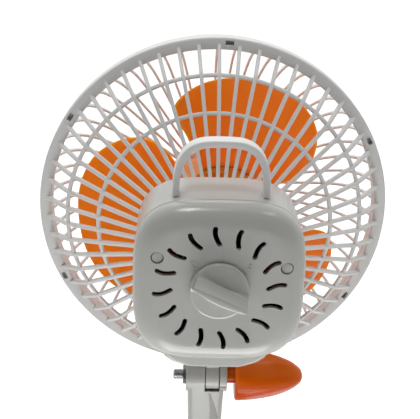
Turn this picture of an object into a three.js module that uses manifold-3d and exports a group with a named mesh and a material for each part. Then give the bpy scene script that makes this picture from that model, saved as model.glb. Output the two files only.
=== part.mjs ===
// Clip fan: a round cage with a three-blade fan, a motor in a rounded housing with a rotary
// switch, a tilting neck with a wing knob, and a sprung clip that also serves as a foot.
// Millimetres, +Z up. The air leaves towards -Y, the switch faces +Y.
// The origin is the middle of the clip's underside, below the neck.
import * as THREE from 'three';
import { mergeVertices } from 'three/addons/utils/BufferGeometryUtils.js';
import Module from 'manifold-3d';

const wasm = await Module();
wasm.setup();

// ---------------------------------------------------------------- driving dimensions
const GAP = 0.3;                 // between pieces that touch
const RUN = 0.3;                 // radial clearance of turning pieces

// cage, measured from a plane just ahead of the hub; y runs to the rear along the fan's axis
const RIM_Y = 17;                // plane between the two halves of the cage
const RIM_R = 89;                // outside radius of the rim
const RIM_WALL = 6;              // rim, across its radius
const RIM_HALF = 4.8;            // rim, thickness of each half along the axis
const RIM_CHAMFER = 1.2;
const SNAPS = 6;                 // catches round the rim
const SNAP_WIDE = 6;
const RIBS = 54;
const REAR_RIB_WIDE = 1.9;
const REAR_RIB_DEEP = 2.6;
const FRONT_RIB_WIDE = 1.4;
const FRONT_RIB_DEEP = 2.2;
const RING_WIDE = 1.9;
const RING_DEEP = 1.7;
const SHOULDER_R = 75;           // rear cage: first ring, where the steep wall turns inward
const SHOULDER_Y = 34.3;
const MIDDLE_R = 57.8;           // rear cage: second ring
const PLATE_R = 30;              // rear cage: middle plate
const PLATE_THICK = 4;
const PLATE_Y = 57.5;            // front face of the middle plate
const FRONT_DEPTH = 37;          // front cage: how far it bulges forward of the rim
const FRONT_CAP_R = 24;
const FRONT_CAP_THICK = 2.8;
const FRONT_Y = RIM_Y - FRONT_DEPTH;

// fan blade
const BLADES = 3;
const HUB_R = 24;
const HUB_WALL = 2;
const HUB_Y0 = 1;
const HUB_Y1 = 31;
const BLADE_THICK = 1.6;
const BLADE_RISE = 0.25;         // rise along the axis for each degree of turn
const BLADE_MID_Y = 23;          // blade height at its zero angle
const SHAFT_R = 3;

// motor housing
const BODY_HALF = 36.8;          // half width and half height of the rounded square
const BODY_POWER = 3.5;          // squareness of the outline
const BODY_WALL = 2.2;
const BODY_Y0 = 74;              // front edge of the rounded square
const SEAM_Y = 104;              // where the rear cover begins
const COVER_Y = 114;             // rear face
const SPIGOT_R = 30;             // round nose between the cage and the rounded square
const SPIGOT_WALL = 3;
const NOSE_HOLE_R = 12;
const VENTS = 16;
const VENT_IN_R = 19.6;
const VENT_OUT_R = 28.6;
const VENT_WIDE = 2.1;
const VENT_START = 1.7;          // turn of the first slot's inner end, degrees
const VENT_BOW = 9;              // how far a slot leans, degrees
const PLUG_R = 2.4;
const PLUG_RING = 29.8;          // plugs: distance from the axis
const PLUG_LEFT = 62;            // plugs: turn from the top, degrees
const PLUG_RIGHT = -70;
const CAGE_SCREW_RING = (NOSE_HOLE_R + SPIGOT_R) / 2;
const SCREW_R = 1.6;
const SCREW_HEAD_R = 3.2;
const SCREW_HEAD = 1.7;

// motor
const STATOR_WIDE = 60;
const STATOR_TALL = 50;
const STATOR_Y0 = 80;
const STATOR_Y1 = 94;
const ROTOR_R = 14.8;
const AIR_GAP = 0.5;
const BRACKET_THICK = 2.9;
const BRACKET_WIDE = 32;
const BEARING_R = 5.7;
const BEARING_LONG = 5.6;
const BOSS_R = 8;

// switch
const SWITCH_HALF = 10;
const SWITCH_DEEP = 7.9;
const KNOB_R = 12.6;
const KNOB_DISC = 2.6;
const FIN_TALL = 12;
const FIN_FALL = 1.3;            // how much lower the fin's ends are
const FIN_CREST = 1.9;           // fin, half thickness of its crest and of its foot, in the middle
const FIN_FOOT = 3;
const FIN_SPREAD = 2.2;          // how much wider the foot is at the ends
const FIN_THIN = 1;              // how much thinner the crest is at the ends
const FIN_TURN = 26;             // slope of the fin at rest, degrees
const STEM_R = 2.6;

// carry handle
const HANDLE_HALF = 20.8;
const HANDLE_BAND = 3;
const HANDLE_DEEP = 8;
const HANDLE_TOP = 60.7;         // above the axis
const HANDLE_Y = 96;

// neck and tilt hinge
const HINGE_DROP = 65;           // below the fan's axis
const HINGE_BACK = 75;           // behind the cage's plane of measure
const HEAD_SHIFT = -3;           // the head hangs beside the neck's middle
const EAR_R = 8;
const EAR_X0 = -10.2;
const EAR_X1 = 9.6;
const LUG_THICK = 6.6;
const LUG_R = 7.5;               // the lug's eye, round the hinge
const WEB_HALF = 4.4;            // the lug's web above its eye
const SLOT_DROP = 5;             // the slot's open ends, below the hinge
const BOLT_R = 2.5;
const BOLT_OUT = 15.7;           // end of the bolt past the nut
const NUT_R = 4.6;
const NUT_THICK = 2.6;
const NUT_SUNK = 1.4;
const COLLAR_R = 3.5;
const COLLAR_LONG = 3.6;
const WING_LONG = 33;
const WING_R = 12.6;
const WING_LOBES = 4;
const NECK_TOP_HALF = 8.9;
const NECK_LOW_HALF = 8.1;
const NECK_DEEP_HALF = 7.6;
const FOOT_R = 14;
const FOOT_THICK = 7;
const SPINDLE_R = 9;
const CHIN_HALF = 24.3;
const CHIN_DROP = 47.8;          // underside of the chin below the axis
const CHIN_FLAT = 12;            // half width of its flat underside
const CHIN_Y0 = 64;
const CHIN_Y1 = 98;

// clip
const AXIS_HEIGHT = 182;         // fan's axis above the clip's underside
const CLIP_TOP = 60;
const CLIP_WALL = 5.5;
const CLIP_HALF = 28;            // half width
const CLIP_FRONT = 48;
const CLIP_REAR = 46;
const BASE_THICK = 5;
const PAD_THICK = 2.4;
const PAD_LONG = 13;
const PAD_HALF = 24;
const PAD_SEAM = 12;             // height at which the jaws meet
const CHEEK = 3;
const CHEEK_OUT = 21.5;          // inside face of the upper cheeks
const PIN_R = 3;
const PIN_Y = 6;
const PIN_Z = 26;
const PIN_CAP_R = 4.6;
const PIN_CAP = 1.4;
const WIRE_R = 1;
const COIL_R = 6;
const COIL_PITCH = 2.9;
const COIL_TURNS = 6;
const LEG_SLOPE = 30;            // spring legs, degrees from level
const GLAND_R = 3.6;
const GLAND_BORE = 2.2;
const GLAND_LONG = 5;
const GLAND_UP = 12.7;           // above the neck's foot

// ---------------------------------------------------------------- materials
const shade = (color, roughness, metalness = 0) =>
  new THREE.MeshStandardMaterial({ color, roughness, metalness });
const WHITE = shade('#d9d9d5', 0.4);
const GREY = shade('#b4b5b0', 0.38);
const ORANGE = shade('#e0601a', 0.35);
const AMBER = shade('#b8500f', 0.3);
const STEEL = shade('#9a9c9e', 0.35, 1);
const LAMINATE = shade('#5c5d60', 0.5, 0.9);
const COPPER = shade('#a5552c', 0.45, 0.6);
const RUBBER = shade('#3b3c3d', 0.9);
const BLACK = shade('#26272a', 0.55);

// ---------------------------------------------------------------- solids
const TAU = Math.PI * 2;
const rad = THREE.MathUtils.degToRad;

function signedVolume(position, index) {
  const [a, b, c] = [0, 1, 2].map(() => new THREE.Vector3());
  let volume = 0;
  for (let i = 0; i < index.length; i += 3) {
    a.fromBufferAttribute(position, index[i]);
    b.fromBufferAttribute(position, index[i + 1]);
    c.fromBufferAttribute(position, index[i + 2]);
    volume += a.dot(b.cross(c)) / 6;
  }
  return volume;
}

// a closed geometry as a solid with its faces pointing out
function solid(shape) {
  if (!shape.isBufferGeometry) return shape;
  shape.deleteAttribute('normal');
  shape.deleteAttribute('uv');
  const merged = mergeVertices(shape, 1e-4);
  const index = Uint32Array.from(merged.index.array);
  const kept = [];
  for (let i = 0; i < index.length; i += 3) {
    const [a, b, c] = index.slice(i, i + 3);
    if (a !== b && b !== c && c !== a) kept.push(a, b, c);
  }
  if (signedVolume(merged.attributes.position, kept) < 0) {
    for (let i = 0; i < kept.length; i += 3) [kept[i], kept[i + 1]] = [kept[i + 1], kept[i]];
  }
  const vertProperties = Float32Array.from(merged.attributes.position.array);
  const triVerts = Uint32Array.from(kept);
  return new wasm.Manifold(new wasm.Mesh({ numProp: 3, vertProperties, triVerts }));
}

const join = (...shapes) => shapes.map(solid).reduce((sum, next) => sum.add(next));
const cut = (body, ...tools) => tools.reduce((rest, tool) => rest.subtract(solid(tool)), solid(body));

function piece(name, shape, material) {
  const result = solid(shape).getMesh();
  const geometry = new THREE.BufferGeometry();
  const positions = Float32Array.from(result.vertProperties);
  geometry.setAttribute('position', new THREE.BufferAttribute(positions, 3));
  geometry.setIndex(new THREE.BufferAttribute(Uint32Array.from(result.triVerts), 1));
  geometry.computeVertexNormals();
  const mesh = new THREE.Mesh(geometry, material);
  mesh.name = name;
  return mesh;
}

// a box between two corners
function box(x0, x1, y0, y1, z0, z1) {
  const geometry = new THREE.BoxGeometry(x1 - x0, y1 - y0, z1 - z0);
  return geometry.translate((x0 + x1) / 2, (y0 + y1) / 2, (z0 + z1) / 2);
}

// cylinders along each axis, from one end to the other
function rodY(r, y0, y1, x = 0, z = 0, steps = 24) {
  return new THREE.CylinderGeometry(r, r, y1 - y0, steps).translate(x, (y0 + y1) / 2, z);
}

function rodX(r, x0, x1, y = 0, z = 0, steps = 24) {
  const geometry = new THREE.CylinderGeometry(r, r, x1 - x0, steps).rotateZ(Math.PI / 2);
  return geometry.translate((x0 + x1) / 2, y, z);
}

function rodZ(r, z0, z1, x = 0, y = 0, steps = 24) {
  const geometry = new THREE.CylinderGeometry(r, r, z1 - z0, steps).rotateX(Math.PI / 2);
  return geometry.translate(x, y, (z0 + z1) / 2);
}

// a closed (radius, y) profile turned about the fan's axis
function turned(profile, steps, start = 0) {
  const points = [...profile, profile[0]].map(([r, y]) => new THREE.Vector2(r, y));
  return new THREE.LatheGeometry(points, steps, start);
}

// an (x, z) outline with thickness along y
function slabY(outline, y0, y1) {
  const shape = new THREE.Shape(outline.map(([x, z]) => new THREE.Vector2(x, z)));
  const geometry = new THREE.ExtrudeGeometry(shape, { depth: y1 - y0, bevelEnabled: false });
  return geometry.rotateX(Math.PI / 2).translate(0, y1, 0);
}

// a (y, z) outline with thickness along x
function slabX(outline, x0, x1) {
  const shape = new THREE.Shape(outline.map(([y, z]) => new THREE.Vector2(y, z)));
  const geometry = new THREE.ExtrudeGeometry(shape, { depth: x1 - x0, bevelEnabled: false });
  return geometry.rotateX(Math.PI / 2).rotateZ(Math.PI / 2).translate(x0, 0, 0);
}

// a skin over equal rings of points, closed with a fan at both ends
function loft(rings) {
  const count = rings[0].length;
  const points = rings.flat();
  const index = [];
  for (let i = 0; i + 1 < rings.length; i++) {
    for (let j = 0; j < count; j++) {
      const a = i * count + j;
      const b = i * count + (j + 1) % count;
      index.push(a, b, a + count, b, b + count, a + count);
    }
  }
  for (const [row, flip] of [[0, true], [rings.length - 1, false]]) {
    const middle = new THREE.Vector3();
    rings[row].forEach((point) => middle.add(point));
    points.push(middle.divideScalar(count));
    for (let j = 0; j < count; j++) {
      const a = row * count + j;
      const b = row * count + (j + 1) % count;
      index.push(...(flip ? [b, a, points.length - 1] : [a, b, points.length - 1]));
    }
  }
  const geometry = new THREE.BufferGeometry().setFromPoints(points);
  geometry.setIndex(index);
  return geometry;
}

const around = (count, make) => Array.from({ length: count }, (_, i) => make(i, TAU * i / count));

// the rounded square of the housing, as a ring of points at height y
function bodyRing(half, y, steps = 28) {
  return around(steps, (_, t) => {
    const [c, s] = [Math.cos(t), Math.sin(t)];
    const r = half / (Math.abs(c) ** BODY_POWER + Math.abs(s) ** BODY_POWER) ** (1 / BODY_POWER);
    return new THREE.Vector3(r * c, y, r * s);
  });
}

const bodyLoft = (stations) => loft(stations.map(([half, y]) => bodyRing(half, y)));

// ---------------------------------------------------------------- cage
// the same line moved sideways by a distance, both in (radius, y)
function offsetLine(line, distance) {
  return line.map((point, i) => {
    const before = line[Math.max(i - 1, 0)];
    const after = line[Math.min(i + 1, line.length - 1)];
    const along = new THREE.Vector2().subVectors(after, before).normalize();
    return new THREE.Vector2(point.x - along.y * distance, point.y + along.x * distance);
  });
}

function rib(line, deep, wide, angle) {
  const outline = [...line, ...offsetLine(line, deep).reverse()];
  const geometry = new THREE.ExtrudeGeometry(new THREE.Shape(outline), { depth: wide, bevelEnabled: false });
  return geometry.translate(0, 0, -wide / 2).rotateY(angle - Math.PI / 2);
}

// a three-sided ring inside the ribs' depth, where their line reaches a radius
function ribRing(line, r, deep) {
  const i = Math.max(1, line.findIndex((point) => point.x >= r));
  const [before, after] = [line[i - 1], line[i]];
  const place = before.clone().lerp(after, (r - before.x) / (after.x - before.x));
  const along = new THREE.Vector2().subVectors(after, before).normalize();
  const corner = (a, b) => [place.x + a * along.x + b * along.y, place.y + a * along.y - b * along.x];
  const outer = (deep - RING_DEEP) / 2;
  return turned([corner(-RING_WIDE / 2, outer), corner(RING_WIDE / 2, outer), corner(0, deep - outer)], RIBS);
}

function rimRing(side) {
  const [inner, outer] = [RIM_R - RIM_WALL, RIM_R];
  const near = RIM_Y + side * GAP / 2;
  const far = RIM_Y + side * RIM_HALF;
  const bevel = side * RIM_CHAMFER;
  return turned([[inner, near], [outer, near], [outer, far - bevel],
    [outer - RIM_CHAMFER, far], [inner, far]], RIBS, HALF_STEP);
}

const HALF_STEP = Math.PI / RIBS;
const cageRibs = (line, deep, wide) => around(RIBS, (_, t) => rib(line, deep, wide, t));
const points2 = (pairs) => pairs.map(([r, y]) => new THREE.Vector2(r, y));

const REAR_LINE = points2([
  [PLATE_R - 1, PLATE_Y + PLATE_THICK - 0.4],
  [SHOULDER_R, SHOULDER_Y],
  [RIM_R - RIM_WALL / 2 + 1.1, RIM_Y + RIM_HALF - 1.5],
]);
const FRONT_LINE = points2([
  [RIM_R - RIM_WALL / 2 + 0.3, RIM_Y - RIM_HALF + 1.5],
  [RIM_R - RIM_WALL - 3.5, RIM_Y - FRONT_DEPTH * 0.56],
  [RIM_R - RIM_WALL - 19, RIM_Y - FRONT_DEPTH * 0.86],
  [FRONT_CAP_R - 1, FRONT_Y + 0.2],
]);

// boxes round the rim, midway between two ribs; y is measured from the rim's plane
function snapBoxes(wide, r0, r1, y0, y1) {
  return around(SNAPS, (_, t) =>
    box(-wide / 2, wide / 2, RIM_Y + y0, RIM_Y + y1, r0, r1).rotateY(t - HALF_STEP));
}

function rearGrille() {
  const plate = turned([[NOSE_HOLE_R, PLATE_Y], [PLATE_R, PLATE_Y],
    [PLATE_R, PLATE_Y + PLATE_THICK], [NOSE_HOLE_R, PLATE_Y + PLATE_THICK]], RIBS, HALF_STEP);
  const rings = [MIDDLE_R, SHOULDER_R - RING_WIDE / 2 - 0.2].map((r) => ribRing(REAR_LINE, r, REAR_RIB_DEEP));
  const body = join(rimRing(1), plate, ...rings, ...cageRibs(REAR_LINE, -REAR_RIB_DEEP, REAR_RIB_WIDE));
  const notches = snapBoxes(SNAP_WIDE + 1, RIM_R - 2.6, RIM_R + 2, -1, RIM_HALF + 1);
  const holes = around(3, (_, t) => screwAt(t, PLATE_Y - 1, PLATE_Y + PLATE_THICK + 1, SCREW_R + RUN));
  return cut(body, ...notches, ...holes);
}

function frontGrille() {
  const disc = new THREE.LatheGeometry(points2([[0, FRONT_Y], [FRONT_CAP_R, FRONT_Y],
    [FRONT_CAP_R, FRONT_Y + FRONT_CAP_THICK], [0, FRONT_Y + FRONT_CAP_THICK]]), RIBS, HALF_STEP);
  const body = join(rimRing(-1), disc, ...cageRibs(FRONT_LINE, -FRONT_RIB_DEEP, FRONT_RIB_WIDE));
  const hooks = snapBoxes(SNAP_WIDE, RIM_R - 2.2, RIM_R - 0.5, -1, RIM_HALF - 0.4);
  return join(body, ...hooks);
}

function frontCap() {
  const front = FRONT_Y - GAP;
  const profile = [[0, front], [FRONT_CAP_R - 3, front], [FRONT_CAP_R - 3, front - 1.2],
    [FRONT_CAP_R - 6, front - 2.2], [0, front - 2.8]];
  return new THREE.LatheGeometry(points2(profile), 28);
}

function screwAt(t, y0, y1, r) {
  return rodY(r, y0, y1, CAGE_SCREW_RING * Math.sin(t), CAGE_SCREW_RING * Math.cos(t), 12);
}

function cageScrew(t) {
  const head = screwAt(t, PLATE_Y - GAP - SCREW_HEAD, PLATE_Y - GAP, SCREW_HEAD_R);
  return join(head, screwAt(t, PLATE_Y - GAP - 0.5, PLATE_Y + PLATE_THICK + 10, SCREW_R));
}

// ---------------------------------------------------------------- fan blade
// radius, then the angles of the blade's two edges there
const BLADE_STATIONS = [
  [HUB_R - HUB_WALL + 0.4, 17, -72],
  [34, 18, -76],
  [45, 20, -74],
  [54, 22.5, -68],
  [61, 19.5, -60],
  [66.5, 9, -51],
  [70.2, -9, -36],
];
const BLADE_STEPS = 4;

function blade(turn) {
  const top = [];
  const low = [];
  for (const [r, first, last] of BLADE_STATIONS) {
    for (let i = 0; i <= BLADE_STEPS; i++) {
      const angle = THREE.MathUtils.lerp(first, last, i / BLADE_STEPS);
      const t = rad(angle) + turn;
      const y = BLADE_MID_Y + BLADE_RISE * angle;
      top.push(new THREE.Vector3(r * Math.sin(t), y + BLADE_THICK / 2, r * Math.cos(t)));
      low.push(new THREE.Vector3(r * Math.sin(t), y - BLADE_THICK / 2, r * Math.cos(t)));
    }
  }
  return sheetSolid(top, low, BLADE_STATIONS.length, BLADE_STEPS + 1);
}

// two equal grids of points, joined along their border
function sheetSolid(top, low, rows, columns) {
  const index = [];
  const quad = (a, b, c, d) => index.push(a, b, c, a, c, d);
  const at = (i, j) => i * columns + j;
  const base = top.length;
  for (let i = 0; i + 1 < rows; i++) {
    for (let j = 0; j + 1 < columns; j++) {
      quad(at(i, j), at(i, j + 1), at(i + 1, j + 1), at(i + 1, j));
      quad(base + at(i, j), base + at(i + 1, j), base + at(i + 1, j + 1), base + at(i, j + 1));
    }
  }
  for (let i = 0; i + 1 < rows; i++) {
    quad(at(i, 0), at(i + 1, 0), base + at(i + 1, 0), base + at(i, 0));
    quad(at(i + 1, columns - 1), at(i, columns - 1), base + at(i, columns - 1), base + at(i + 1, columns - 1));
  }
  for (let j = 0; j + 1 < columns; j++) {
    quad(at(0, j + 1), at(0, j), base + at(0, j), base + at(0, j + 1));
    quad(at(rows - 1, j), at(rows - 1, j + 1), base + at(rows - 1, j + 1), base + at(rows - 1, j));
  }
  const geometry = new THREE.BufferGeometry().setFromPoints([...top, ...low]);
  geometry.setIndex(index);
  return geometry;
}

function fanBlade() {
  const cup = turned([[SHAFT_R + RUN, HUB_Y0], [HUB_R - 2, HUB_Y0], [HUB_R, HUB_Y0 + 2], [HUB_R, HUB_Y1],
    [HUB_R - HUB_WALL, HUB_Y1], [HUB_R - HUB_WALL, HUB_Y0 + 2.2], [7, HUB_Y0 + 2.2],
    [7, HUB_Y1 - 6], [SHAFT_R + RUN, HUB_Y1 - 6]], 30);
  return join(cup, ...around(BLADES, (_, t) => blade(t)));
}

function bladeRetainer() {
  const front = HUB_Y0 - GAP;
  const profile = [[0, front - 6], [4, front - 6], [6.5, front - 4.5], [7.5, front], [SHAFT_R + RUN, front],
    [SHAFT_R + RUN, front - 3.4], [0, front - 3.4]];
  return new THREE.LatheGeometry(points2([...profile].reverse()), 16);
}

// ---------------------------------------------------------------- motor
const SHAFT_Y0 = HUB_Y0 - 3;
const FRONT_BEARING_Y = STATOR_Y0 - GAP - BRACKET_THICK - BEARING_LONG + 0.5;
const REAR_BEARING_Y = STATOR_Y1 + GAP + BRACKET_THICK - 0.5;
const SHAFT_Y1 = REAR_BEARING_Y + BEARING_LONG + 0.6;

function bracket(y0, bossY0, bossY1, pocketY0, pocketY1) {
  const half = BRACKET_WIDE / 2;
  const plate = box(-half, half, y0, y0 + BRACKET_THICK, -STATOR_TALL / 2 + 1, STATOR_TALL / 2 - 1);
  const body = join(plate, rodY(BOSS_R, bossY0, bossY1, 0, 0, 16));
  return cut(body, rodY(BEARING_R + GAP, pocketY0, pocketY1, 0, 0, 16),
    rodY(SHAFT_R + 1, bossY0 - 9, bossY1 + 9, 0, 0, 16));
}

function bearing(y0) {
  return turned([[SHAFT_R + 0.35, y0], [BEARING_R, y0], [BEARING_R, y0 + BEARING_LONG],
    [SHAFT_R + 0.35, y0 + BEARING_LONG]], 12);
}

const LEG = 6;                   // stator's outer leg, inside the coil
const WINDOW = 6;                // slot between the leg and the middle
const WINDOW_TALL = 26;

function stator() {
  const body = bodyOutline(STATOR_WIDE / 2, STATOR_TALL / 2, 5, STATOR_Y0, STATOR_Y1);
  const windows = [-1, 1].map((side) => {
    const [a, b] = [STATOR_WIDE / 2 - LEG - WINDOW, STATOR_WIDE / 2 - LEG];
    const [x0, x1] = side > 0 ? [a, b] : [-b, -a];
    return box(x0, x1, STATOR_Y0 - 1, STATOR_Y1 + 1, -WINDOW_TALL / 2, WINDOW_TALL / 2);
  });
  return cut(body, rodY(ROTOR_R + AIR_GAP, STATOR_Y0 - 1, STATOR_Y1 + 1), ...windows);
}

// a rectangle with cut corners, standing in x and z
function bodyOutline(halfX, halfZ, corner, y0, y1) {
  return slabY([[-halfX + corner, -halfZ], [halfX - corner, -halfZ], [halfX, -halfZ + corner],
    [halfX, halfZ - corner], [halfX - corner, halfZ], [-halfX + corner, halfZ],
    [-halfX, halfZ - corner], [-halfX, -halfZ + corner]], y0, y1);
}

function coil(side) {
  const inner = STATOR_WIDE / 2 - LEG - WINDOW + GAP;
  const outer = BODY_HALF - BODY_WALL - 0.8;
  const [x0, x1] = side > 0 ? [inner, outer] : [-outer, -inner];
  const legIn = STATOR_WIDE / 2 - LEG - GAP;
  const legOut = STATOR_WIDE / 2 + GAP;
  const [h0, h1] = side > 0 ? [legIn, legOut] : [-legOut, -legIn];
  const tall = WINDOW_TALL / 2 - GAP;
  const body = box(x0, x1, STATOR_Y0 - 3, STATOR_Y1 + 4, -tall, tall);
  return cut(body, box(h0, h1, STATOR_Y0 - GAP, STATOR_Y1 + GAP, -tall - 1, tall + 1));
}

// ---------------------------------------------------------------- housing
const SPIGOT_Y = PLATE_Y + PLATE_THICK + GAP;
const INSIDE_Y = BODY_Y0 + 2.5;

function hingeLug() {
  const half = LUG_THICK / 2;
  const disc = rodX(LUG_R, -half, half, HINGE_BACK, -HINGE_DROP);
  const web = box(-half, half, HINGE_BACK - WEB_HALF, HINGE_BACK + WEB_HALF, -HINGE_DROP, -CHIN_DROP + 4);
  return cut(join(disc, web), rodX(BOLT_R + RUN, -half - 1, half + 1, HINGE_BACK, -HINGE_DROP, 20));
}

function chin() {
  const top = -BODY_HALF + 4;
  const right = [[CHIN_FLAT, -CHIN_DROP], [CHIN_HALF - 4.7, 2.5 - CHIN_DROP], [CHIN_HALF - 0.8, 5.3 - CHIN_DROP],
    [CHIN_HALF, 7.5 - CHIN_DROP], [CHIN_HALF, top]];
  const outline = [...right.map(([x, z]) => [-x, z]).reverse(), ...right];
  const body = slabY(outline, CHIN_Y0, CHIN_Y1);
  const hollow = outline.map(([x, z]) => [x * (1 - 3 / CHIN_HALF), z + 3]);
  return { body, hollow: slabY(hollow, BODY_Y0 + 3, CHIN_Y1 - 3) };
}

function frontHousing() {
  const under = chin();
  const nose = rodY(SPIGOT_R, SPIGOT_Y, BODY_Y0 + 1, 0, 0, 32);
  const drum = bodyLoft([[BODY_HALF - 1.2, BODY_Y0], [BODY_HALF, BODY_Y0 + 1.4], [BODY_HALF, SEAM_Y]]);
  const inside = bodyLoft([[BODY_HALF - BODY_WALL, INSIDE_Y], [BODY_HALF - BODY_WALL, SEAM_Y + 1]]);
  const noseRoom = rodY(SPIGOT_R - SPIGOT_WALL, SPIGOT_Y + 3, INSIDE_Y + 1, 0, 0, 32);
  const bosses = around(3, (_, t) => screwAt(t, SPIGOT_Y + 2, SPIGOT_Y + 11, SCREW_R + 2.4));
  const pilots = around(3, (_, t) => screwAt(t, SPIGOT_Y - 1, SPIGOT_Y + 12, SCREW_R + RUN));
  const shell = cut(join(nose, drum, under.body), inside, noseRoom, under.hollow,
    rodY(NOSE_HOLE_R, SPIGOT_Y - 1, SPIGOT_Y + 5, 0, 0, 28));
  return cut(join(shell, hingeLug(), ...bosses), ...pilots);
}

function ventSlot(t) {
  const steps = 3;
  const left = [];
  const right = [];
  for (let i = 0; i <= steps; i++) {
    const s = i / steps;
    const r = THREE.MathUtils.lerp(VENT_IN_R, VENT_OUT_R, s);
    const lean = t + rad(VENT_BOW * (s * 1.3 - s * s * 0.9));
    const side = VENT_WIDE / 2 / r;
    left.push([r * Math.sin(lean - side), r * Math.cos(lean - side)]);
    right.push([r * Math.sin(lean + side), r * Math.cos(lean + side)]);
  }
  return slabY([...left, ...right.reverse()], COVER_Y - 6, COVER_Y + 2);
}

function rearCover() {
  const y0 = SEAM_Y + GAP;
  const outside = bodyLoft([[BODY_HALF, y0], [BODY_HALF, y0 + 2], [BODY_HALF - 1.5, y0 + 5.2],
    [BODY_HALF - 4.2, y0 + 7.8], [BODY_HALF - 8, COVER_Y]]);
  const inside = bodyLoft([[BODY_HALF - BODY_WALL, y0 - 1], [BODY_HALF - BODY_WALL, y0 + 2.5],
    [BODY_HALF - BODY_WALL - 3, y0 + 5.6], [BODY_HALF - 9.5, COVER_Y - BODY_WALL]]);
  const vents = around(VENTS, (_, t) => ventSlot(t + rad(VENT_START)));
  const holes = [PLUG_LEFT, PLUG_RIGHT].map((turn) => plugRod(PLUG_R + GAP, y0, COVER_Y + 2, turn));
  return cut(outside, inside, ...vents, ...holes, rodY(STEM_R + 0.6, y0, COVER_Y + 2));
}

function plugRod(r, y0, y1, turn) {
  return rodY(r, y0, y1, PLUG_RING * Math.sin(rad(turn)), PLUG_RING * Math.cos(rad(turn)), 16);
}

const plug = (turn) => plugRod(PLUG_R, COVER_Y - 3.4, COVER_Y - 0.7, turn);

// the top of the rounded square at a distance from its middle
const bodyTopAt = (x) => BODY_HALF * (1 - (Math.abs(x) / BODY_HALF) ** BODY_POWER) ** (1 / BODY_POWER);

function handle() {
  const foot = bodyTopAt(HANDLE_HALF - HANDLE_BAND) + GAP;
  const rise = HANDLE_TOP - foot;
  const steps = 18;
  const arch = (halfWide, tall) => Array.from({ length: steps + 1 }, (_, i) => {
    const t = Math.PI * i / steps;
    const [c, s] = [Math.cos(t), Math.sin(t)];
    return [halfWide * Math.sign(c) * Math.abs(c) ** 0.62, foot + tall * s ** 0.75];
  });
  const outer = arch(HANDLE_HALF, rise);
  const inner = arch(HANDLE_HALF - HANDLE_BAND, rise - HANDLE_BAND);
  return slabY([...outer, ...inner.reverse()], HANDLE_Y - HANDLE_DEEP / 2, HANDLE_Y + HANDLE_DEEP / 2);
}

// ---------------------------------------------------------------- switch
const SWITCH_BACK = COVER_Y - BODY_WALL - GAP;
const KNOB_Y = COVER_Y + GAP;

function switchBody() {
  const body = box(-SWITCH_HALF, SWITCH_HALF, SWITCH_BACK - SWITCH_DEEP, SWITCH_BACK, -SWITCH_HALF, SWITCH_HALF);
  return cut(body, rodY(STEM_R + RUN, SWITCH_BACK - SWITCH_DEEP + 2.5, SWITCH_BACK + 1));
}

// a section across the fin at a share of its length; its ends follow the edge of the disc
function finRing(share) {
  const foot = FIN_FOOT + FIN_SPREAD * share ** 2;
  const crest = FIN_CREST - FIN_THIN * share ** 2;
  const top = FIN_TALL - FIN_FALL * share ** 2;
  const side = [[foot, KNOB_DISC - 1], [foot, KNOB_DISC + 0.3],
    [THREE.MathUtils.lerp(crest, foot, 0.45), KNOB_DISC + 1.8],
    [THREE.MathUtils.lerp(crest, foot, 0.2), KNOB_DISC + 4.4], [crest, top - 0.7], [crest * 0.5, top]];
  const outline = [...side, ...side.map(([across, y]) => [-across, y]).reverse()];
  return outline.map(([across, y]) =>
    new THREE.Vector3(share * Math.sqrt((KNOB_R - 0.4) ** 2 - across ** 2), KNOB_Y + y, across));
}

function switchKnob() {
  const disc = loft([[KNOB_R, 0], [KNOB_R, 1.6], [KNOB_R - 1, KNOB_DISC]].map(([r, y]) =>
    around(28, (_, t) => new THREE.Vector3(r * Math.cos(t), KNOB_Y + y, r * Math.sin(t)))));
  const fin = loft([-1, -0.65, -0.3, 0.3, 0.65, 1].map(finRing));
  const stem = rodY(STEM_R, SWITCH_BACK - SWITCH_DEEP + 3, KNOB_Y + 1);
  return join(disc, fin.rotateY(rad(-FIN_TURN)), stem);
}

// ---------------------------------------------------------------- neck and hinge, hinge at y = 0
const HINGE_Z = AXIS_HEIGHT - HINGE_DROP;
const FOOT_Z = CLIP_TOP + GAP;
const GLAND_Z = FOOT_Z + FOOT_THICK + GLAND_UP;

function roundedBlock(halfX, halfY, corner, z) {
  const outline = [[halfX, halfY - corner], [halfX - corner, halfY], [-halfX + corner, halfY], [-halfX, halfY - corner],
    [-halfX, -halfY + corner], [-halfX + corner, -halfY], [halfX - corner, -halfY], [halfX, -halfY + corner]];
  return outline.map(([x, y]) => new THREE.Vector3(x, y, z));
}

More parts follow.
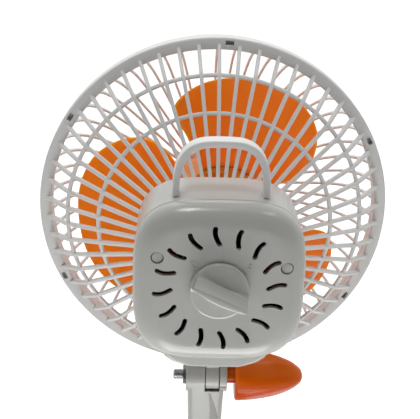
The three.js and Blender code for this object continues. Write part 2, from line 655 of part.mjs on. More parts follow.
function neck() {
  const ears = rodX(EAR_R, EAR_X0, EAR_X1, 0, HINGE_Z, 28);
  const flare = FOOT_Z + FOOT_THICK + 6;
  const pillar = loft([
    roundedBlock(NECK_TOP_HALF, NECK_DEEP_HALF, 2.2, HINGE_Z),
    roundedBlock(NECK_LOW_HALF, NECK_DEEP_HALF, 2.2, flare + (HINGE_Z - flare) * 0.4),
    roundedBlock(NECK_LOW_HALF, NECK_DEEP_HALF + 1, 2.2, flare),
    roundedBlock(NECK_LOW_HALF + 3, NECK_DEEP_HALF + 4, 4, FOOT_Z + FOOT_THICK - 1),
  ]);
  const foot = join(rodZ(FOOT_R, FOOT_Z, FOOT_Z + FOOT_THICK, 0, 0, 36), rodZ(SPINDLE_R, SPINDLE_Z, FOOT_Z + 1));
  const slotHalf = LUG_THICK / 2 + GAP;
  const slot = join(box(HEAD_SHIFT - slotHalf, HEAD_SHIFT + slotHalf, -20, 20, HINGE_Z - SLOT_DROP, HINGE_Z + 20),
    rodX(LUG_R + 0.8, HEAD_SHIFT - slotHalf, HEAD_SHIFT + slotHalf, 0, HINGE_Z, 28));
  const nutSeat = rodX(NUT_R + 0.4, EAR_X1 - NUT_SUNK, EAR_X1 + 5, 0, HINGE_Z, 6);
  const glandSeat = rodY(GLAND_R + GAP, NECK_DEEP_HALF + 1 - GLAND_LONG, NECK_DEEP_HALF + 9, 0, GLAND_Z, 20);
  const pilot = rodZ(BOLT_R - 0.2, SPINDLE_Z - 1, FOOT_Z + 4, 0, 0, 16);
  return cut(join(ears, pillar, foot), slot, nutSeat, glandSeat, pilot, creaseTool(),
    rodX(BOLT_R + RUN, EAR_X0 - 1, EAR_X1 + 1, 0, HINGE_Z, 20));
}

// a crease on the rear of the neck that starts under the slot, widens downward and runs out above the gland
function creaseTool() {
  const back = NECK_DEEP_HALF;
  const top = HINGE_Z - SLOT_DROP - 0.5;
  const low = GLAND_Z + GLAND_R + 3;
  const ring = (edge, wide, deep, z) => [[edge, back + 3], [edge, back], [edge - wide * 0.8, back - deep],
    [edge - wide, back], [edge - wide, back + 3]].map(([x, y]) => new THREE.Vector3(x, y, z));
  return loft([ring(-1.3, 0.9, 0.4, top), ring(-2.5, 4.2, 2.2, low + (top - low) * 0.42),
    ring(-3.2, 4.8, 0.3, low)]);
}

function tiltBolt() {
  return rodX(BOLT_R, EAR_X0 - COLLAR_LONG - 11, BOLT_OUT, 0, HINGE_Z, 20);
}

function tiltNut() {
  const x0 = EAR_X1 - NUT_SUNK + GAP;
  return cut(rodX(NUT_R, x0, x0 + NUT_THICK, 0, HINGE_Z, 6),
    rodX(BOLT_R + RUN, x0 - 1, x0 + NUT_THICK + 1, 0, HINGE_Z, 20));
}

function tiltKnob() {
  const x0 = EAR_X0 - GAP;
  const base = x0 - COLLAR_LONG;
  const stations = [[1, 0, 0.03], [1, 0.16, 0.07], [0.97, 0.32, 0.11], [0.88, 0.52, 0.14],
    [0.73, 0.7, 0.14], [0.53, 0.85, 0.12], [0.3, 0.96, 0.08], [0.1, 1, 0]];
  const body = loft(stations.map(([r, s, groove]) => around(20, (_, t) => {
    const radius = WING_R * r * (1 - groove * (1 - Math.cos(WING_LOBES * t)) / 2);
    return new THREE.Vector3(base - WING_LONG * s, radius * Math.cos(t), HINGE_Z + radius * Math.sin(t));
  })));
  const collar = rodX(COLLAR_R + 0.5, base - 1, x0, 0, HINGE_Z);
  return cut(join(body, collar), rodX(BOLT_R + 0.3, base - 11.3, x0 + 1, 0, HINGE_Z, 20));
}

// ---------------------------------------------------------------- clip
const SPINDLE_Z = CLIP_TOP - CLIP_WALL - 0.2;
const WASHER = 1.6;

function swivelWasher() {
  const top = SPINDLE_Z - GAP;
  return cut(rodZ(SPINDLE_R + 3, top - WASHER, top), rodZ(BOLT_R, top - WASHER - 1, top + 1, 0, 0, 16));
}

function swivelScrew() {
  const under = SPINDLE_Z - GAP - WASHER - GAP;
  return join(rodZ(4.4, under - 2.6, under, 0, 0, 16), rodZ(2, under - 1, FOOT_Z + 3, 0, 0, 16));
}

// bored for the hinge pin
const pinBore = (x0, x1) => rodX(PIN_R + RUN, x0, x1, PIN_Y, PIN_Z, 20);

function clipTop() {
  const tip = PAD_SEAM + GAP / 2 + PAD_THICK + GAP;
  const shell = slabX([[-CLIP_FRONT, tip], [-CLIP_FRONT, tip + 6], [-CLIP_FRONT + 14, tip + 25],
    [-24, CLIP_TOP - 3], [-16, CLIP_TOP], [17, CLIP_TOP], [30, CLIP_TOP - 5], [CLIP_REAR, CLIP_TOP - 9],
    [CLIP_REAR, CLIP_TOP - 13.5], [29, CLIP_TOP - 9.8], [15, CLIP_TOP - CLIP_WALL], [-14, CLIP_TOP - CLIP_WALL],
    [-21, CLIP_TOP - CLIP_WALL - 3], [-CLIP_FRONT + PAD_LONG + 4, tip + 16], [-CLIP_FRONT + PAD_LONG, tip]],
  -CLIP_HALF, CLIP_HALF);
  const cheekShape = [[-16, CLIP_TOP - 4], [16, CLIP_TOP - 4], [PIN_Y + 7, PIN_Z - 3], [PIN_Y + 3, PIN_Z - 6.5],
    [PIN_Y - 3, PIN_Z - 6.5], [PIN_Y - 7, PIN_Z - 3]];
  const cheeks = [slabX(cheekShape, CHEEK_OUT, CHEEK_OUT + CHEEK),
    slabX(cheekShape, -CHEEK_OUT - CHEEK, -CHEEK_OUT)];
  return cut(join(shell, ...cheeks), rodZ(SPINDLE_R + RUN, CLIP_TOP - CLIP_WALL - 1, CLIP_TOP + 1, 0, 0, 32),
    pinBore(-CLIP_HALF - 1, CLIP_HALF + 1));
}

function clipJaw() {
  const tip = PAD_SEAM - GAP / 2 - PAD_THICK - GAP;
  const shell = slabX([[-CLIP_FRONT + 2, 0], [CLIP_REAR - 2, 0], [CLIP_REAR, 2], [CLIP_REAR, BASE_THICK + 1],
    [CLIP_REAR - 12, BASE_THICK], [-CLIP_FRONT + PAD_LONG + 3, BASE_THICK], [-CLIP_FRONT + PAD_LONG, tip],
    [-CLIP_FRONT, tip], [-CLIP_FRONT, 2]], -CLIP_HALF, CLIP_HALF);
  const cheekShape = [[-9, BASE_THICK - 1], [18, BASE_THICK - 1], [PIN_Y + 6, PIN_Z + 3], [PIN_Y + 3, PIN_Z + 6],
    [PIN_Y - 3, PIN_Z + 6], [PIN_Y - 6, PIN_Z + 3]];
  const out = CHEEK_OUT - GAP;
  const cheeks = [slabX(cheekShape, out - CHEEK, out), slabX(cheekShape, -out, -out + CHEEK)];
  const wide = WIRE_R + 0.5;
  const legSlot = box(LEG_X - wide, LEG_X + wide, 9, 37.5, -1, BASE_THICK + 2);
  return cut(join(shell, ...cheeks), legSlot, pinBore(-CLIP_HALF - 1, CLIP_HALF + 1));
}

function clipPin() {
  const reach = CHEEK_OUT + CHEEK + GAP;
  const [y, z] = [PIN_Y, PIN_Z];
  return join(rodX(PIN_R, -reach - 0.5, reach + 0.5, y, z), rodX(PIN_CAP_R, reach, reach + PIN_CAP, y, z),
    rodX(PIN_CAP_R, -reach - PIN_CAP, -reach, y, z));
}

// the spring's centre line: a leg, the turns about the pin, and the other leg
const LEG_X = COIL_PITCH * (COIL_TURNS + 1 / 3) / 2;

function springLine() {
  const start = rad(90 + LEG_SLOPE);
  const turns = TAU * COIL_TURNS + rad(180 - 2 * LEG_SLOPE);
  const at = (t) => new THREE.Vector3(-LEG_X + 2 * LEG_X * t / turns, PIN_Y + COIL_R * Math.cos(start + t),
    PIN_Z + COIL_R * Math.sin(start + t));
  const steps = Math.round(turns / TAU * 8);
  const curl = Array.from({ length: steps + 1 }, (_, i) => at(turns * i / steps));
  const up = new THREE.Vector3(0, Math.cos(rad(LEG_SLOPE)), Math.sin(rad(LEG_SLOPE)));
  const down = new THREE.Vector3(0, up.y, -up.z);
  const ceiling = CLIP_TOP - CLIP_WALL - GAP - WIRE_R * 1.6;
  const upLength = (ceiling - curl[0].z) / up.z * 0.80;
  const downLength = (curl[steps].z - BASE_THICK + 2) / up.z;
  const first = curl[0].clone().addScaledVector(up, upLength);
  const last = curl[steps].clone().addScaledVector(down, downLength);
  return [first, ...curl, last];
}

function wireAlong(line, r, sides) {
  return loft(line.map((point, i) => {
    const before = line[Math.max(i - 1, 0)];
    const after = line[Math.min(i + 1, line.length - 1)];
    const along = after.clone().sub(before).normalize();
    const out = new THREE.Vector3(1, 0, 0).addScaledVector(along, -along.x).normalize();
    const across = along.clone().cross(out);
    return around(sides, (_, t) => point.clone().addScaledVector(out, r * Math.cos(t))
      .addScaledVector(across, r * Math.sin(t)));
  }));
}

// least distance between turns that aren't neighbours along the wire
function leastSelfGap(line, r) {
  let least = Infinity;
  for (let i = 0; i < line.length; i++) {
    for (let j = i + 5; j < line.length; j++) least = Math.min(least, line[i].distanceTo(line[j]) - 2 * r);
  }
  return least;
}

function clipSpring() {
  const line = springLine();
  console.log(`spring: least gap to itself ${leastSelfGap(line, WIRE_R).toFixed(2)} mm`);
  return wireAlong(line, WIRE_R, 5);
}

function pad(z0) {
  return box(-PAD_HALF, PAD_HALF, -CLIP_FRONT + 0.6, -CLIP_FRONT + PAD_LONG - 0.6, z0, z0 + PAD_THICK);
}

function cordGland() {
  const y1 = NECK_DEEP_HALF + 1.3;
  const body = join(rodY(GLAND_R, y1 - GLAND_LONG + GAP, y1 + 0.5, 0, GLAND_Z, 16),
    rodY(GLAND_R + 1.4, y1 + 0.2, y1 + 2, 0, GLAND_Z, 16));
  return cut(body, rodY(GLAND_BORE, y1 - GLAND_LONG - 1, y1 + 3, 0, GLAND_Z, 12));
}

// ---------------------------------------------------------------- assembly
const clip = new THREE.Group();
clip.add(
  piece('clip_top', clipTop(), GREY),
  piece('clip_jaw', clipJaw(), GREY),
  piece('clip_pin', clipPin(), STEEL),
  piece('clip_spring', clipSpring(), STEEL),
  piece('pad_upper', pad(PAD_SEAM + GAP / 2), RUBBER),
  piece('pad_lower', pad(PAD_SEAM - GAP / 2 - PAD_THICK), RUBBER),
  piece('swivel_washer', swivelWasher(), STEEL),
  piece('swivel_screw', swivelScrew(), STEEL),
);

const neckGroup = new THREE.Group();
neckGroup.add(
  piece('neck', neck(), GREY),
  piece('cord_gland', cordGland(), RUBBER),
  piece('tilt_bolt', tiltBolt(), STEEL),
  piece('tilt_nut', tiltNut(), STEEL),
  piece('tilt_knob', tiltKnob(), AMBER),
);

const head = new THREE.Group();
head.position.set(HEAD_SHIFT, -HINGE_BACK, AXIS_HEIGHT);
head.add(
  piece('front_grille', frontGrille(), WHITE),
  piece('front_cap', frontCap(), WHITE),
  piece('rear_grille', rearGrille(), WHITE),
  ...around(3, (i, t) => piece(`cage_screw_${i + 1}`, cageScrew(t), STEEL)),
  piece('fan_blade', fanBlade(), ORANGE),
  piece('blade_retainer', bladeRetainer(), ORANGE),
  piece('motor_shaft', rodY(SHAFT_R, SHAFT_Y0, SHAFT_Y1, 0, 0, 16), STEEL),
  piece('rotor', cut(rodY(ROTOR_R, STATOR_Y0 + 0.5, STATOR_Y1 - 0.5),
    rodY(SHAFT_R + GAP, STATOR_Y0 - 1, STATOR_Y1 + 1, 0, 0, 16)), LAMINATE),
  piece('stator_core', stator(), LAMINATE),
  piece('coil_left', coil(1), COPPER),
  piece('coil_right', coil(-1), COPPER),
  piece('motor_bracket_front', bracket(STATOR_Y0 - GAP - BRACKET_THICK, FRONT_BEARING_Y - 1, STATOR_Y0 - 1,
    FRONT_BEARING_Y - GAP, STATOR_Y0 + 1), STEEL),
  piece('motor_bracket_rear', bracket(STATOR_Y1 + GAP, STATOR_Y1 + 1, REAR_BEARING_Y + BEARING_LONG + 1,
    STATOR_Y1 - 1, REAR_BEARING_Y + BEARING_LONG + GAP), STEEL),
  piece('bearing_front', bearing(FRONT_BEARING_Y), STEEL),
  piece('bearing_rear', bearing(REAR_BEARING_Y), STEEL),
  piece('front_housing', frontHousing(), WHITE),
  piece('rear_cover', rearCover(), GREY),
  piece('carry_handle', handle(), WHITE),
  piece('plug_left', plug(PLUG_LEFT), GREY),
  piece('plug_right', plug(PLUG_RIGHT), GREY),
  piece('switch_body', switchBody(), BLACK),
  piece('switch_knob', switchKnob(), GREY),
);

const fan = new THREE.Group();
fan.add(clip, neckGroup, head);

export default fan;
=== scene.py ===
"""Clip fan: finished pieces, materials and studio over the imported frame.

Points are in millimetres in the frame's axes until make() turns them into metres.
"""
import math
from functools import cache

import bmesh
import bpy
from mathutils import Matrix, Vector


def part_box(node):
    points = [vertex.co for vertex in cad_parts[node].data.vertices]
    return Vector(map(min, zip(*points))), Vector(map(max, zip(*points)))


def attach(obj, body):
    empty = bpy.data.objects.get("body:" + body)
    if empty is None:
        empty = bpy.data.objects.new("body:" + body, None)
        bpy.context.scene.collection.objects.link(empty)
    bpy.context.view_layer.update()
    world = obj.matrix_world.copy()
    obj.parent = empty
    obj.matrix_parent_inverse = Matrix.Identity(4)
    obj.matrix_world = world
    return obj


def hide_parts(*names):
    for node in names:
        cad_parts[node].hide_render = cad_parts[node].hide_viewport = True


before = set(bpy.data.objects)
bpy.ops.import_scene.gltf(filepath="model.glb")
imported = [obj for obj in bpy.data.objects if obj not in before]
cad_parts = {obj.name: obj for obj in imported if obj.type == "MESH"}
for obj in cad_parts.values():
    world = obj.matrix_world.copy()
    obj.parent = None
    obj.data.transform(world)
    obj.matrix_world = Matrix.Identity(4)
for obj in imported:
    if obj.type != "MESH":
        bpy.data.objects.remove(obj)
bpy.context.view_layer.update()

bl_info = {
    "name": "Clip fan",
    "version": (1, 0, 0),
    "blender": (4, 5, 0),
    "location": "3D View > Sidebar > Clip Fan",
    "description": "Dresses the clip fan's frame with finished pieces and materials",
    "category": "Add Mesh",
}

MM = 0.001
TAU = 2 * math.pi


def lowest(node):
    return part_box(node)[0] / MM


def highest(node):
    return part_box(node)[1] / MM


def middle(node):
    return (lowest(node) + highest(node)) / 2


# the fan's axis just ahead of the hub, and the tilt hinge
GAP = 0.3
RIM_Y = 17
HEAD = Vector((middle("motor_shaft").x, lowest("rear_grille").y - GAP / 2 - RIM_Y, middle("motor_shaft").z))
HINGE = Vector((0, middle("tilt_bolt").y, middle("tilt_bolt").z))

# cage and housing, with y measured from HEAD
RIM_R = (highest("rear_grille").x - lowest("rear_grille").x) / 2
RIM_IN = RIM_R - 6
RIM_HALF = 4.8
RIM_SOFT = (0.2, 0.2, 1.5, 0.9)
RIBS = 54
SNAPS = 6
PLATE_R = 30
PLATE_Y = 57.5
PLATE_THICK = 4
MOTOR_HOLE = 12
REAR_LINE = [(PLATE_R - 1, 61.1), (75, 34.3), (RIM_R - 1.9, RIM_Y + 3.3)]
REAR_DEEP = 2.6
REAR_RINGS = (57.8, 74)
FRONT_Y = RIM_Y - 37
DISC_R = 24
DISC_THICK = 2.8
FRONT_LINE = [(RIM_R - 2.7, RIM_Y - 3.3), (RIM_R - 9.5, RIM_Y - 20.7), (RIM_R - 25, RIM_Y - 31.8),
              (DISC_R - 1, FRONT_Y + 0.2)]
FRONT_DEEP = 2.2
BODY_HALF = 36.8
BODY_POWER = 3.5
BODY_WALL = 2.2
BODY_Y0 = 74
SEAM_Y = 104
COVER_Y = 114
CHIN_HALF = 24.3
CHIN_DROP = 47.8
CHIN_Y0 = 64
CHIN_Y1 = 98
VENTS = 16
VENT_IN = 19.6
VENT_OUT = 28.6
BOSS_RING = 21
PLUG_R = 2.4

# hinge and neck
LUG_R = 7.5
LUG_HALF = 3.3
WEB_HALF = 4.4
BOLT_BORE = 2.8
GLAND_R = 3.6

# clip, with z measured from the floor
CLIP_TOP = 60
CLIP_HALF = 28
CLIP_SEAM = 12
PAD_THICK = 2.4
PAD_TEETH = 6
CHEEK_IN = 21.5
CHEEK_THICK = 3
CLIP_WALL = 5.5
JAW_THICK = 5
SPINDLE_R = 9
PIN = Vector((0, 6, 26))
PIN_BORE = 3.3
COIL_TURNS = 6
COIL_PITCH = 2.9
LEG_X = COIL_PITCH * (COIL_TURNS + 1 / 3) / 2

ORIGIN = Vector((0, 0, 0))
# how far a cut runs on past what it cuts
CLEAR = 20


# ---------------------------------------------------------------- sizes and colours
def colour(name, text, value):
    return bpy.props.FloatVectorProperty(
        name=name, description=text, subtype="COLOR", size=4, min=0, max=1, default=(*value, 1)
    )


def length(name, text, value, low=0.0, high=0.1):
    return bpy.props.FloatProperty(
        name=name, description=text, unit="LENGTH", subtype="DISTANCE", default=value * MM, min=low, max=high,
        precision=4,
    )


class ClipFanColours(bpy.types.PropertyGroup):
    cage: colour("Cage", "Cage, handle and cap", (0.80, 0.80, 0.785))
    housing: colour("Housing", "Motor housing, cover, neck and clip", (0.51, 0.51, 0.485))
    blades: colour("Blades", "Fan blades and hub", (0.97, 0.225, 0.014))
    wing_knob: colour("Wing knob", "Knob that clamps the tilt", (0.88, 0.17, 0.006))
    # painted shade: the darker colour of the wing knob's lower part, under its lit top
    wing_shade: colour("Wing knob core", "Thick, darker parts of the wing knob", (0.55, 0.065, 0.003))
    steel: colour("Steel", "Bolt, nut, pin and spring", (0.55, 0.56, 0.57))
    rubber: colour("Rubber", "Pads and cord gland", (0.035, 0.036, 0.038))
    floor: colour("Floor", "Studio floor", (0.94, 0.94, 0.94))


class ClipFanSizes(bpy.types.PropertyGroup):
    rear_rib: length("Rear rib", "Width of a rib of the rear grille", 1.9)
    front_rib: length("Front rib", "Width of a rib of the front grille", 1.4)
    vent: length("Vent", "Width of a slot in the rear cover", 2.1)
    mark_height: length("Dial mark height", "Height of the dial numbers", 4.6)
    mark_lift: length("Dial mark lift", "How far the dial numbers stand out", 0.25)
    thread_pitch: length("Thread pitch", "Pitch of the bolt's thread", 0.8)
    wire: length("Wire", "Diameter of the spring wire", 2.0)


class ClipFanStudio(bpy.types.PropertyGroup):
    sky: bpy.props.FloatProperty(
        name="Sky", description="Light from behind and beside the fan", default=1.04, min=0
    )
    dim: bpy.props.FloatProperty(
        name="Camera side", description="Light from above the camera, as a share of the sky",
        subtype="FACTOR", default=0.0, min=0, max=1,
    )
    key: bpy.props.FloatProperty(name="Key", description="Overhead lamp", unit="POWER", default=3.8, min=0)
    floor_glow: bpy.props.FloatProperty(
        name="Floor glow", description="Light that the camera alone sees on the floor", default=0.42, min=0
    )
    distance: length("Floor size", "Half width of the floor", 4000, 0.5, 20)


def colours():
    return bpy.context.scene.clip_fan_colours


def sizes():
    return bpy.context.scene.clip_fan_sizes


# ---------------------------------------------------------------- forms, as (points, faces)
def rounded(points, radius, steps=4, closed=True):
    """The outline with an arc in place of each corner; radius is one number or one for each corner."""
    out = []
    for i, point in enumerate(points):
        here = Vector(point)
        r = radius[i] if isinstance(radius, (list, tuple)) else radius
        if r <= 0 or (not closed and i in (0, len(points) - 1)):
            out.append(here)
            continue
        a = Vector(points[i - 1]) - here
        b = Vector(points[(i + 1) % len(points)]) - here
        angle = a.angle(b)
        if angle > math.radians(177):
            out.append(here)
            continue
        reach = min(r / math.tan(angle / 2), a.length * 0.48, b.length * 0.48)
        start, end = here + a.normalized() * reach, here + b.normalized() * reach
        for k in range(steps + 1):
            t = k / steps
            out.append(start * (1 - t) ** 2 + here * (2 * t * (1 - t)) + end * t * t)
    return out


def smooth_line(points, steps):
    """A Catmull-Rom curve through rows of numbers."""
    out = []
    last = len(points) - 1
    for i in range(last):
        p0, p1, p2, p3 = (points[max(0, min(last, k))] for k in (i - 1, i, i + 1, i + 2))
        for k in range(steps):
            t = k / steps
            out.append(tuple(
                0.5 * (2 * b + (c - a) * t + (2 * a - 5 * b + 4 * c - d) * t * t
                       + (3 * b - a - 3 * c + d) * t ** 3)
                for a, b, c, d in zip(p0, p1, p2, p3)
            ))
    out.append(tuple(points[-1]))
    return out


def loft(rings, closed=False, caps=True):
    """A skin over equal rings of points."""
    count, rows = len(rings[0]), len(rings)
    points = [Vector(p) for ring in rings for p in ring]
    faces = []
    for i in range(rows if closed else rows - 1):
        k = (i + 1) % rows
        for j in range(count):
            m = (j + 1) % count
            faces.append((i * count + j, i * count + m, k * count + m, k * count + j))
    if caps and not closed:
        faces.append(tuple(range(count)))
        faces.append(tuple(range((rows - 1) * count, rows * count)))
    return points, faces


def merged(*shapes):
    points, faces = [], []
    for more_points, more_faces in shapes:
        base = len(points)
        points.extend(more_points)
        faces.extend(tuple(base + i for i in face) for face in more_faces)
    return points, faces


def moved(shape, offset):
    return [p + Vector(offset) for p in shape[0]], shape[1]


def turned(profile, steps, axis="y", centre=HEAD, start=0.0):
    """A (radius, height) profile turned about an axis; it closes on itself or meets the axis at both ends."""
    rings = []
    for i in range(steps):
        t = start + TAU * i / steps
        s, c = math.sin(t), math.cos(t)
        place = {
            "x": lambda r, h: Vector((h, r * c, r * s)),
            "y": lambda r, h: Vector((r * s, h, r * c)),
            "z": lambda r, h: Vector((r * c, r * s, h)),
        }[axis]
        rings.append([place(r, h) + centre for r, h in profile])
    return loft(rings, closed=True)


def tube(r0, r1, h0, h1, soft=0, fine=3, steps=96, axis="y", centre=HEAD):
    """A ring with a square section and soft corners; r0 is 0 where it is solid."""
    return turned(rounded([(r0, h0), (r1, h0), (r1, h1), (r0, h1)], soft, fine), steps, axis, centre)


def rod(r, h0, h1, axis, centre, round_off=0.4, steps=48):
    """A rod with rounded ends."""
    return tube(0, r, h0, h1, [0, round_off, round_off, 0], 3, steps, axis, centre)


def slab(outline, axis, h0, h1, centre=ORIGIN):
    """A flat outline with thickness: (x, z) along y, or (y, z) along x."""
    place = {"x": lambda a, b, h: Vector((h, a, b)), "y": lambda a, b, h: Vector((a, h, b))}[axis]
    return loft([[place(a, b, h) + centre for a, b in outline] for h in (h0, h1)])


def brick(lo, hi):
    (x0, y0, z0), (x1, y1, z1) = lo, hi
    ring = lambda z: [Vector((x0, y0, z)), Vector((x1, y0, z)), Vector((x1, y1, z)), Vector((x0, y1, z))]
    return loft([ring(z0), ring(z1)])


def squircle(half, y, power=BODY_POWER, steps=96):
    """The housing's rounded square as a ring; power 2 is a circle."""
    ring = []
    for i in range(steps):
        t = TAU * i / steps
        c, s = math.cos(t), math.sin(t)
        r = half / (abs(c) ** power + abs(s) ** power) ** (1 / power)
        ring.append(Vector((r * c, y, r * s)) + HEAD)
    return ring


def offset(line, distance):
    """A (radius, height) line moved sideways."""
    out = []
    for i, point in enumerate(line):
        along = (Vector(line[min(i + 1, len(line) - 1)]) - Vector(line[max(i - 1, 0)])).normalized()
        out.append(Vector((point[0] - along.y * distance, point[1] + along.x * distance)))
    return out


def ribs(line, deep, wide):
    """Rounded ribs all round the axis, hanging from a (radius, height) line."""
    edge = 0.32 * wide
    sign = 1 if deep > 0 else -1
    section = rounded([(-wide / 2, 0), (wide / 2, 0), (wide * 0.42, deep), (-wide * 0.42, deep)], edge, 3)
    rows = [offset(line, d) for _, d in section]
    rings = [[(section[k][0] * sign, rows[k][i]) for k in range(len(section))] for i in range(len(line))]
    turns = [TAU * n / RIBS for n in range(RIBS)]
    return merged(*(loft([[polar(p.x, p.y, t, w) + HEAD for w, p in ring] for ring in rings]) for t in turns))


def polar(r, y, t, across=0):
    """A point round the fan's axis, and so far across from its radius."""
    s, c = math.sin(t), math.cos(t)
    return Vector((r * s + across * c, y, r * c - across * s))


def at_radius(line, radius):
    """Place and direction of a (radius, height) line where it reaches a radius."""
    for a, b in zip(line, line[1:]):
        if min(a[0], b[0]) <= radius <= max(a[0], b[0]):
            t = (radius - a[0]) / (b[0] - a[0])
            return Vector(a).lerp(Vector(b), t), (Vector(b) - Vector(a)).normalized()
    raise ValueError("the line doesn't reach this radius")


def hoop(line, radius, deep, wide=1.9, thick=1.7):
    """A ring that ties the ribs together, inside their depth."""
    place, along = at_radius(line, radius)
    middle_deep = deep / 2
    corners = rounded([(-wide / 2, -thick / 2), (wide / 2, -thick / 2), (wide / 2, thick / 2),
                       (-wide / 2, thick / 2)], 0.6, 3)
    profile = [(place.x + a * along.x - (b + middle_deep) * along.y, place.y + a * along.y
                + (b + middle_deep) * along.x) for a, b in corners]
    return turned(profile, 216)


def to_mesh(form):
    mesh = bpy.data.meshes.new("temporary")
    mesh.from_pydata(form[0], [], form[1])
    clean(mesh)
    return mesh


def to_form(mesh, place=lambda co: co.copy()):
    """The points and faces of a mesh, which is then deleted."""
    form = ([place(v.co) for v in mesh.vertices], [tuple(p.vertices) for p in mesh.polygons])
    bpy.data.meshes.remove(mesh)
    return form


def evaluated(obj):
    """A new mesh of the object with its modifiers or its text."""
    return bpy.data.meshes.new_from_object(obj.evaluated_get(bpy.context.evaluated_depsgraph_get()))


def carved(shape, joins=(), cuts=(), within=()):
    """One closed form: shapes are joined to it, then cut from it, and it keeps to what lies within others."""
    def temporary(form):
        obj = bpy.data.objects.new("temporary", to_mesh(form))
        bpy.context.scene.collection.objects.link(obj)
        return obj

    base = temporary(shape)
    for operation, tools in (("UNION", joins), ("DIFFERENCE", cuts), ("INTERSECT", within)):
        for form in tools:
            tool = temporary(form)
            modifier = base.modifiers.new("step", "BOOLEAN")
            modifier.operation, modifier.solver, modifier.object = operation, "EXACT", tool
            result, spent = evaluated(base), (base.data, tool.data)
            base.modifiers.clear()
            base.data = result
            bpy.data.objects.remove(tool)
            for mesh in spent:
                bpy.data.meshes.remove(mesh)
    made = base.data
    bpy.data.objects.remove(base)
    form = to_form(made)
    if not form[1]:
        raise RuntimeError("a cut left nothing")
    return form


def softened(shape, width, angle=40, segments=2, keep=lambda a, b: True):
    """The form with a small round on its sharp edges; keep() picks edges by their two ends."""
    mesh = to_mesh(shape)
    bm = bmesh.new()
    bm.from_mesh(mesh)
    edges = [e for e in bm.edges if len(e.link_faces) == 2 and e.calc_face_angle(0) > math.radians(angle)
             and keep(e.verts[0].co, e.verts[1].co)]
    bmesh.ops.bevel(bm, geom=edges, offset=width, segments=segments, profile=0.5, affect="EDGES",
                    clamp_overlap=True, offset_type="OFFSET")
    bm.to_mesh(mesh)
    bm.free()
    return to_form(mesh)


def clean(mesh, distance=1e-4):
    bm = bmesh.new()
    bm.from_mesh(mesh)
    bmesh.ops.remove_doubles(bm, verts=bm.verts, dist=distance)
    bmesh.ops.dissolve_degenerate(bm, dist=distance, edges=bm.edges)
    bmesh.ops.recalc_face_normals(bm, faces=bm.faces)
    bm.to_mesh(mesh)
    bm.free()


def make(name, shape, body, material, stands_for=(), angle=35, flat=False):
    """A finished piece in metres, riding on a body and standing for CAD nodes."""
    mesh = bpy.data.meshes.new(name)
    mesh.from_pydata([p * MM for p in shape[0]], [], shape[1])
    clean(mesh, 1e-7)
    bm = bmesh.new()
    bm.from_mesh(mesh)
    for face in bm.faces:
        face.smooth = True
    for edge in bm.edges:
        edge.smooth = len(edge.link_faces) == 2 and edge.calc_face_angle(0) < math.radians(angle)
    bm.to_mesh(mesh)
    bm.free()
    mesh.materials.append(material)
    obj = bpy.data.objects.new(name, mesh)
    bpy.context.scene.collection.objects.link(obj)
    if flat:
        weigh = obj.modifiers.new("flat faces", "WEIGHTED_NORMAL")
        weigh.keep_sharp = True
    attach(obj, body)
    if stands_for:
        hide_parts(*stands_for)
    return obj


# ---------------------------------------------------------------- materials
def node(tree, kind, inputs=None, **values):
    """A new shader node, with values for its inputs by name or number."""
    made = tree.nodes.new(kind)
    for key, value in values.items():
        setattr(made, key, value)
    for key, value in (inputs or {}).items():
        made.inputs[key].default_value = value
    return made


def wire(tree, *rows):
    """Links, each given as a node, its output, the next node and its input."""
    for source, output, target, entry in rows:
        tree.links.new(source.outputs[output], target.inputs[entry])


def group(name, inputs, outputs):
    """A new shader group with its input and output nodes."""
    tree = bpy.data.node_groups.new(name, "ShaderNodeTree")
    for label, kind, value in inputs:
        socket = tree.interface.new_socket(label, in_out="INPUT", socket_type=kind)
        socket.default_value = value
    for label, kind in outputs:
        tree.interface.new_socket(label, in_out="OUTPUT", socket_type=kind)
    return tree, tree.nodes.new("NodeGroupInput"), tree.nodes.new("NodeGroupOutput")


@cache
def grain_group():
    """Moulded surface: slow drift of tone and gloss, and a fine spark-eroded grain."""
    tree, start, end = group(
        "Moulded_Grain",
        [("Tone", "NodeSocketColor", (0.5, 0.5, 0.5, 1)), ("Drift", "NodeSocketFloat", 0.05),
         ("Gloss", "NodeSocketFloat", 0.4), ("Grain", "NodeSocketFloat", 0.2)],
        [("Tone", "NodeSocketColor"), ("Roughness", "NodeSocketFloat"), ("Normal", "NodeSocketVector")],
    )
    place = node(tree, "ShaderNodeTexCoord")
    slow = node(tree, "ShaderNodeTexNoise", {"Scale": 38, "Detail": 3})
    fine = node(tree, "ShaderNodeTexNoise", {"Scale": 2200, "Detail": 2})
    spread = node(tree, "ShaderNodeMapRange")
    low = node(tree, "ShaderNodeMath", {0: 1}, operation="SUBTRACT")
    shade = node(tree, "ShaderNodeMix", {"Factor": 1}, data_type="RGBA", blend_type="MULTIPLY")
    gloss = node(tree, "ShaderNodeMath", {1: 0.16}, operation="MULTIPLY_ADD")
    lower = node(tree, "ShaderNodeMath", {1: 0.08}, operation="SUBTRACT")
    bump = node(tree, "ShaderNodeBump", {"Distance": 0.00006})
    wire(
        tree,
        (place, "Object", slow, "Vector"), (place, "Object", fine, "Vector"),
        (start, "Drift", low, 1), (slow, "Fac", spread, "Value"), (low, 0, spread, "To Min"),
        (start, "Tone", shade, "A"), (spread, "Result", shade, "B"),
        (start, "Gloss", lower, 0), (slow, "Fac", gloss, 0), (lower, 0, gloss, 2),
        (fine, "Fac", bump, "Height"), (start, "Grain", bump, "Strength"),
        (shade, "Result", end, "Tone"), (gloss, 0, end, "Roughness"), (bump, "Normal", end, "Normal"),
    )
    return tree


def blank(name, **values):
    """A new material with its tree and shader; values are the shader's own, with _ for a space."""
    material = bpy.data.materials.new(name)
    material.use_nodes = True
    shader = material.node_tree.nodes["Principled BSDF"]
    for key, value in values.items():
        shader.inputs[key.replace("_", " ")].default_value = value
    return material, material.node_tree, shader


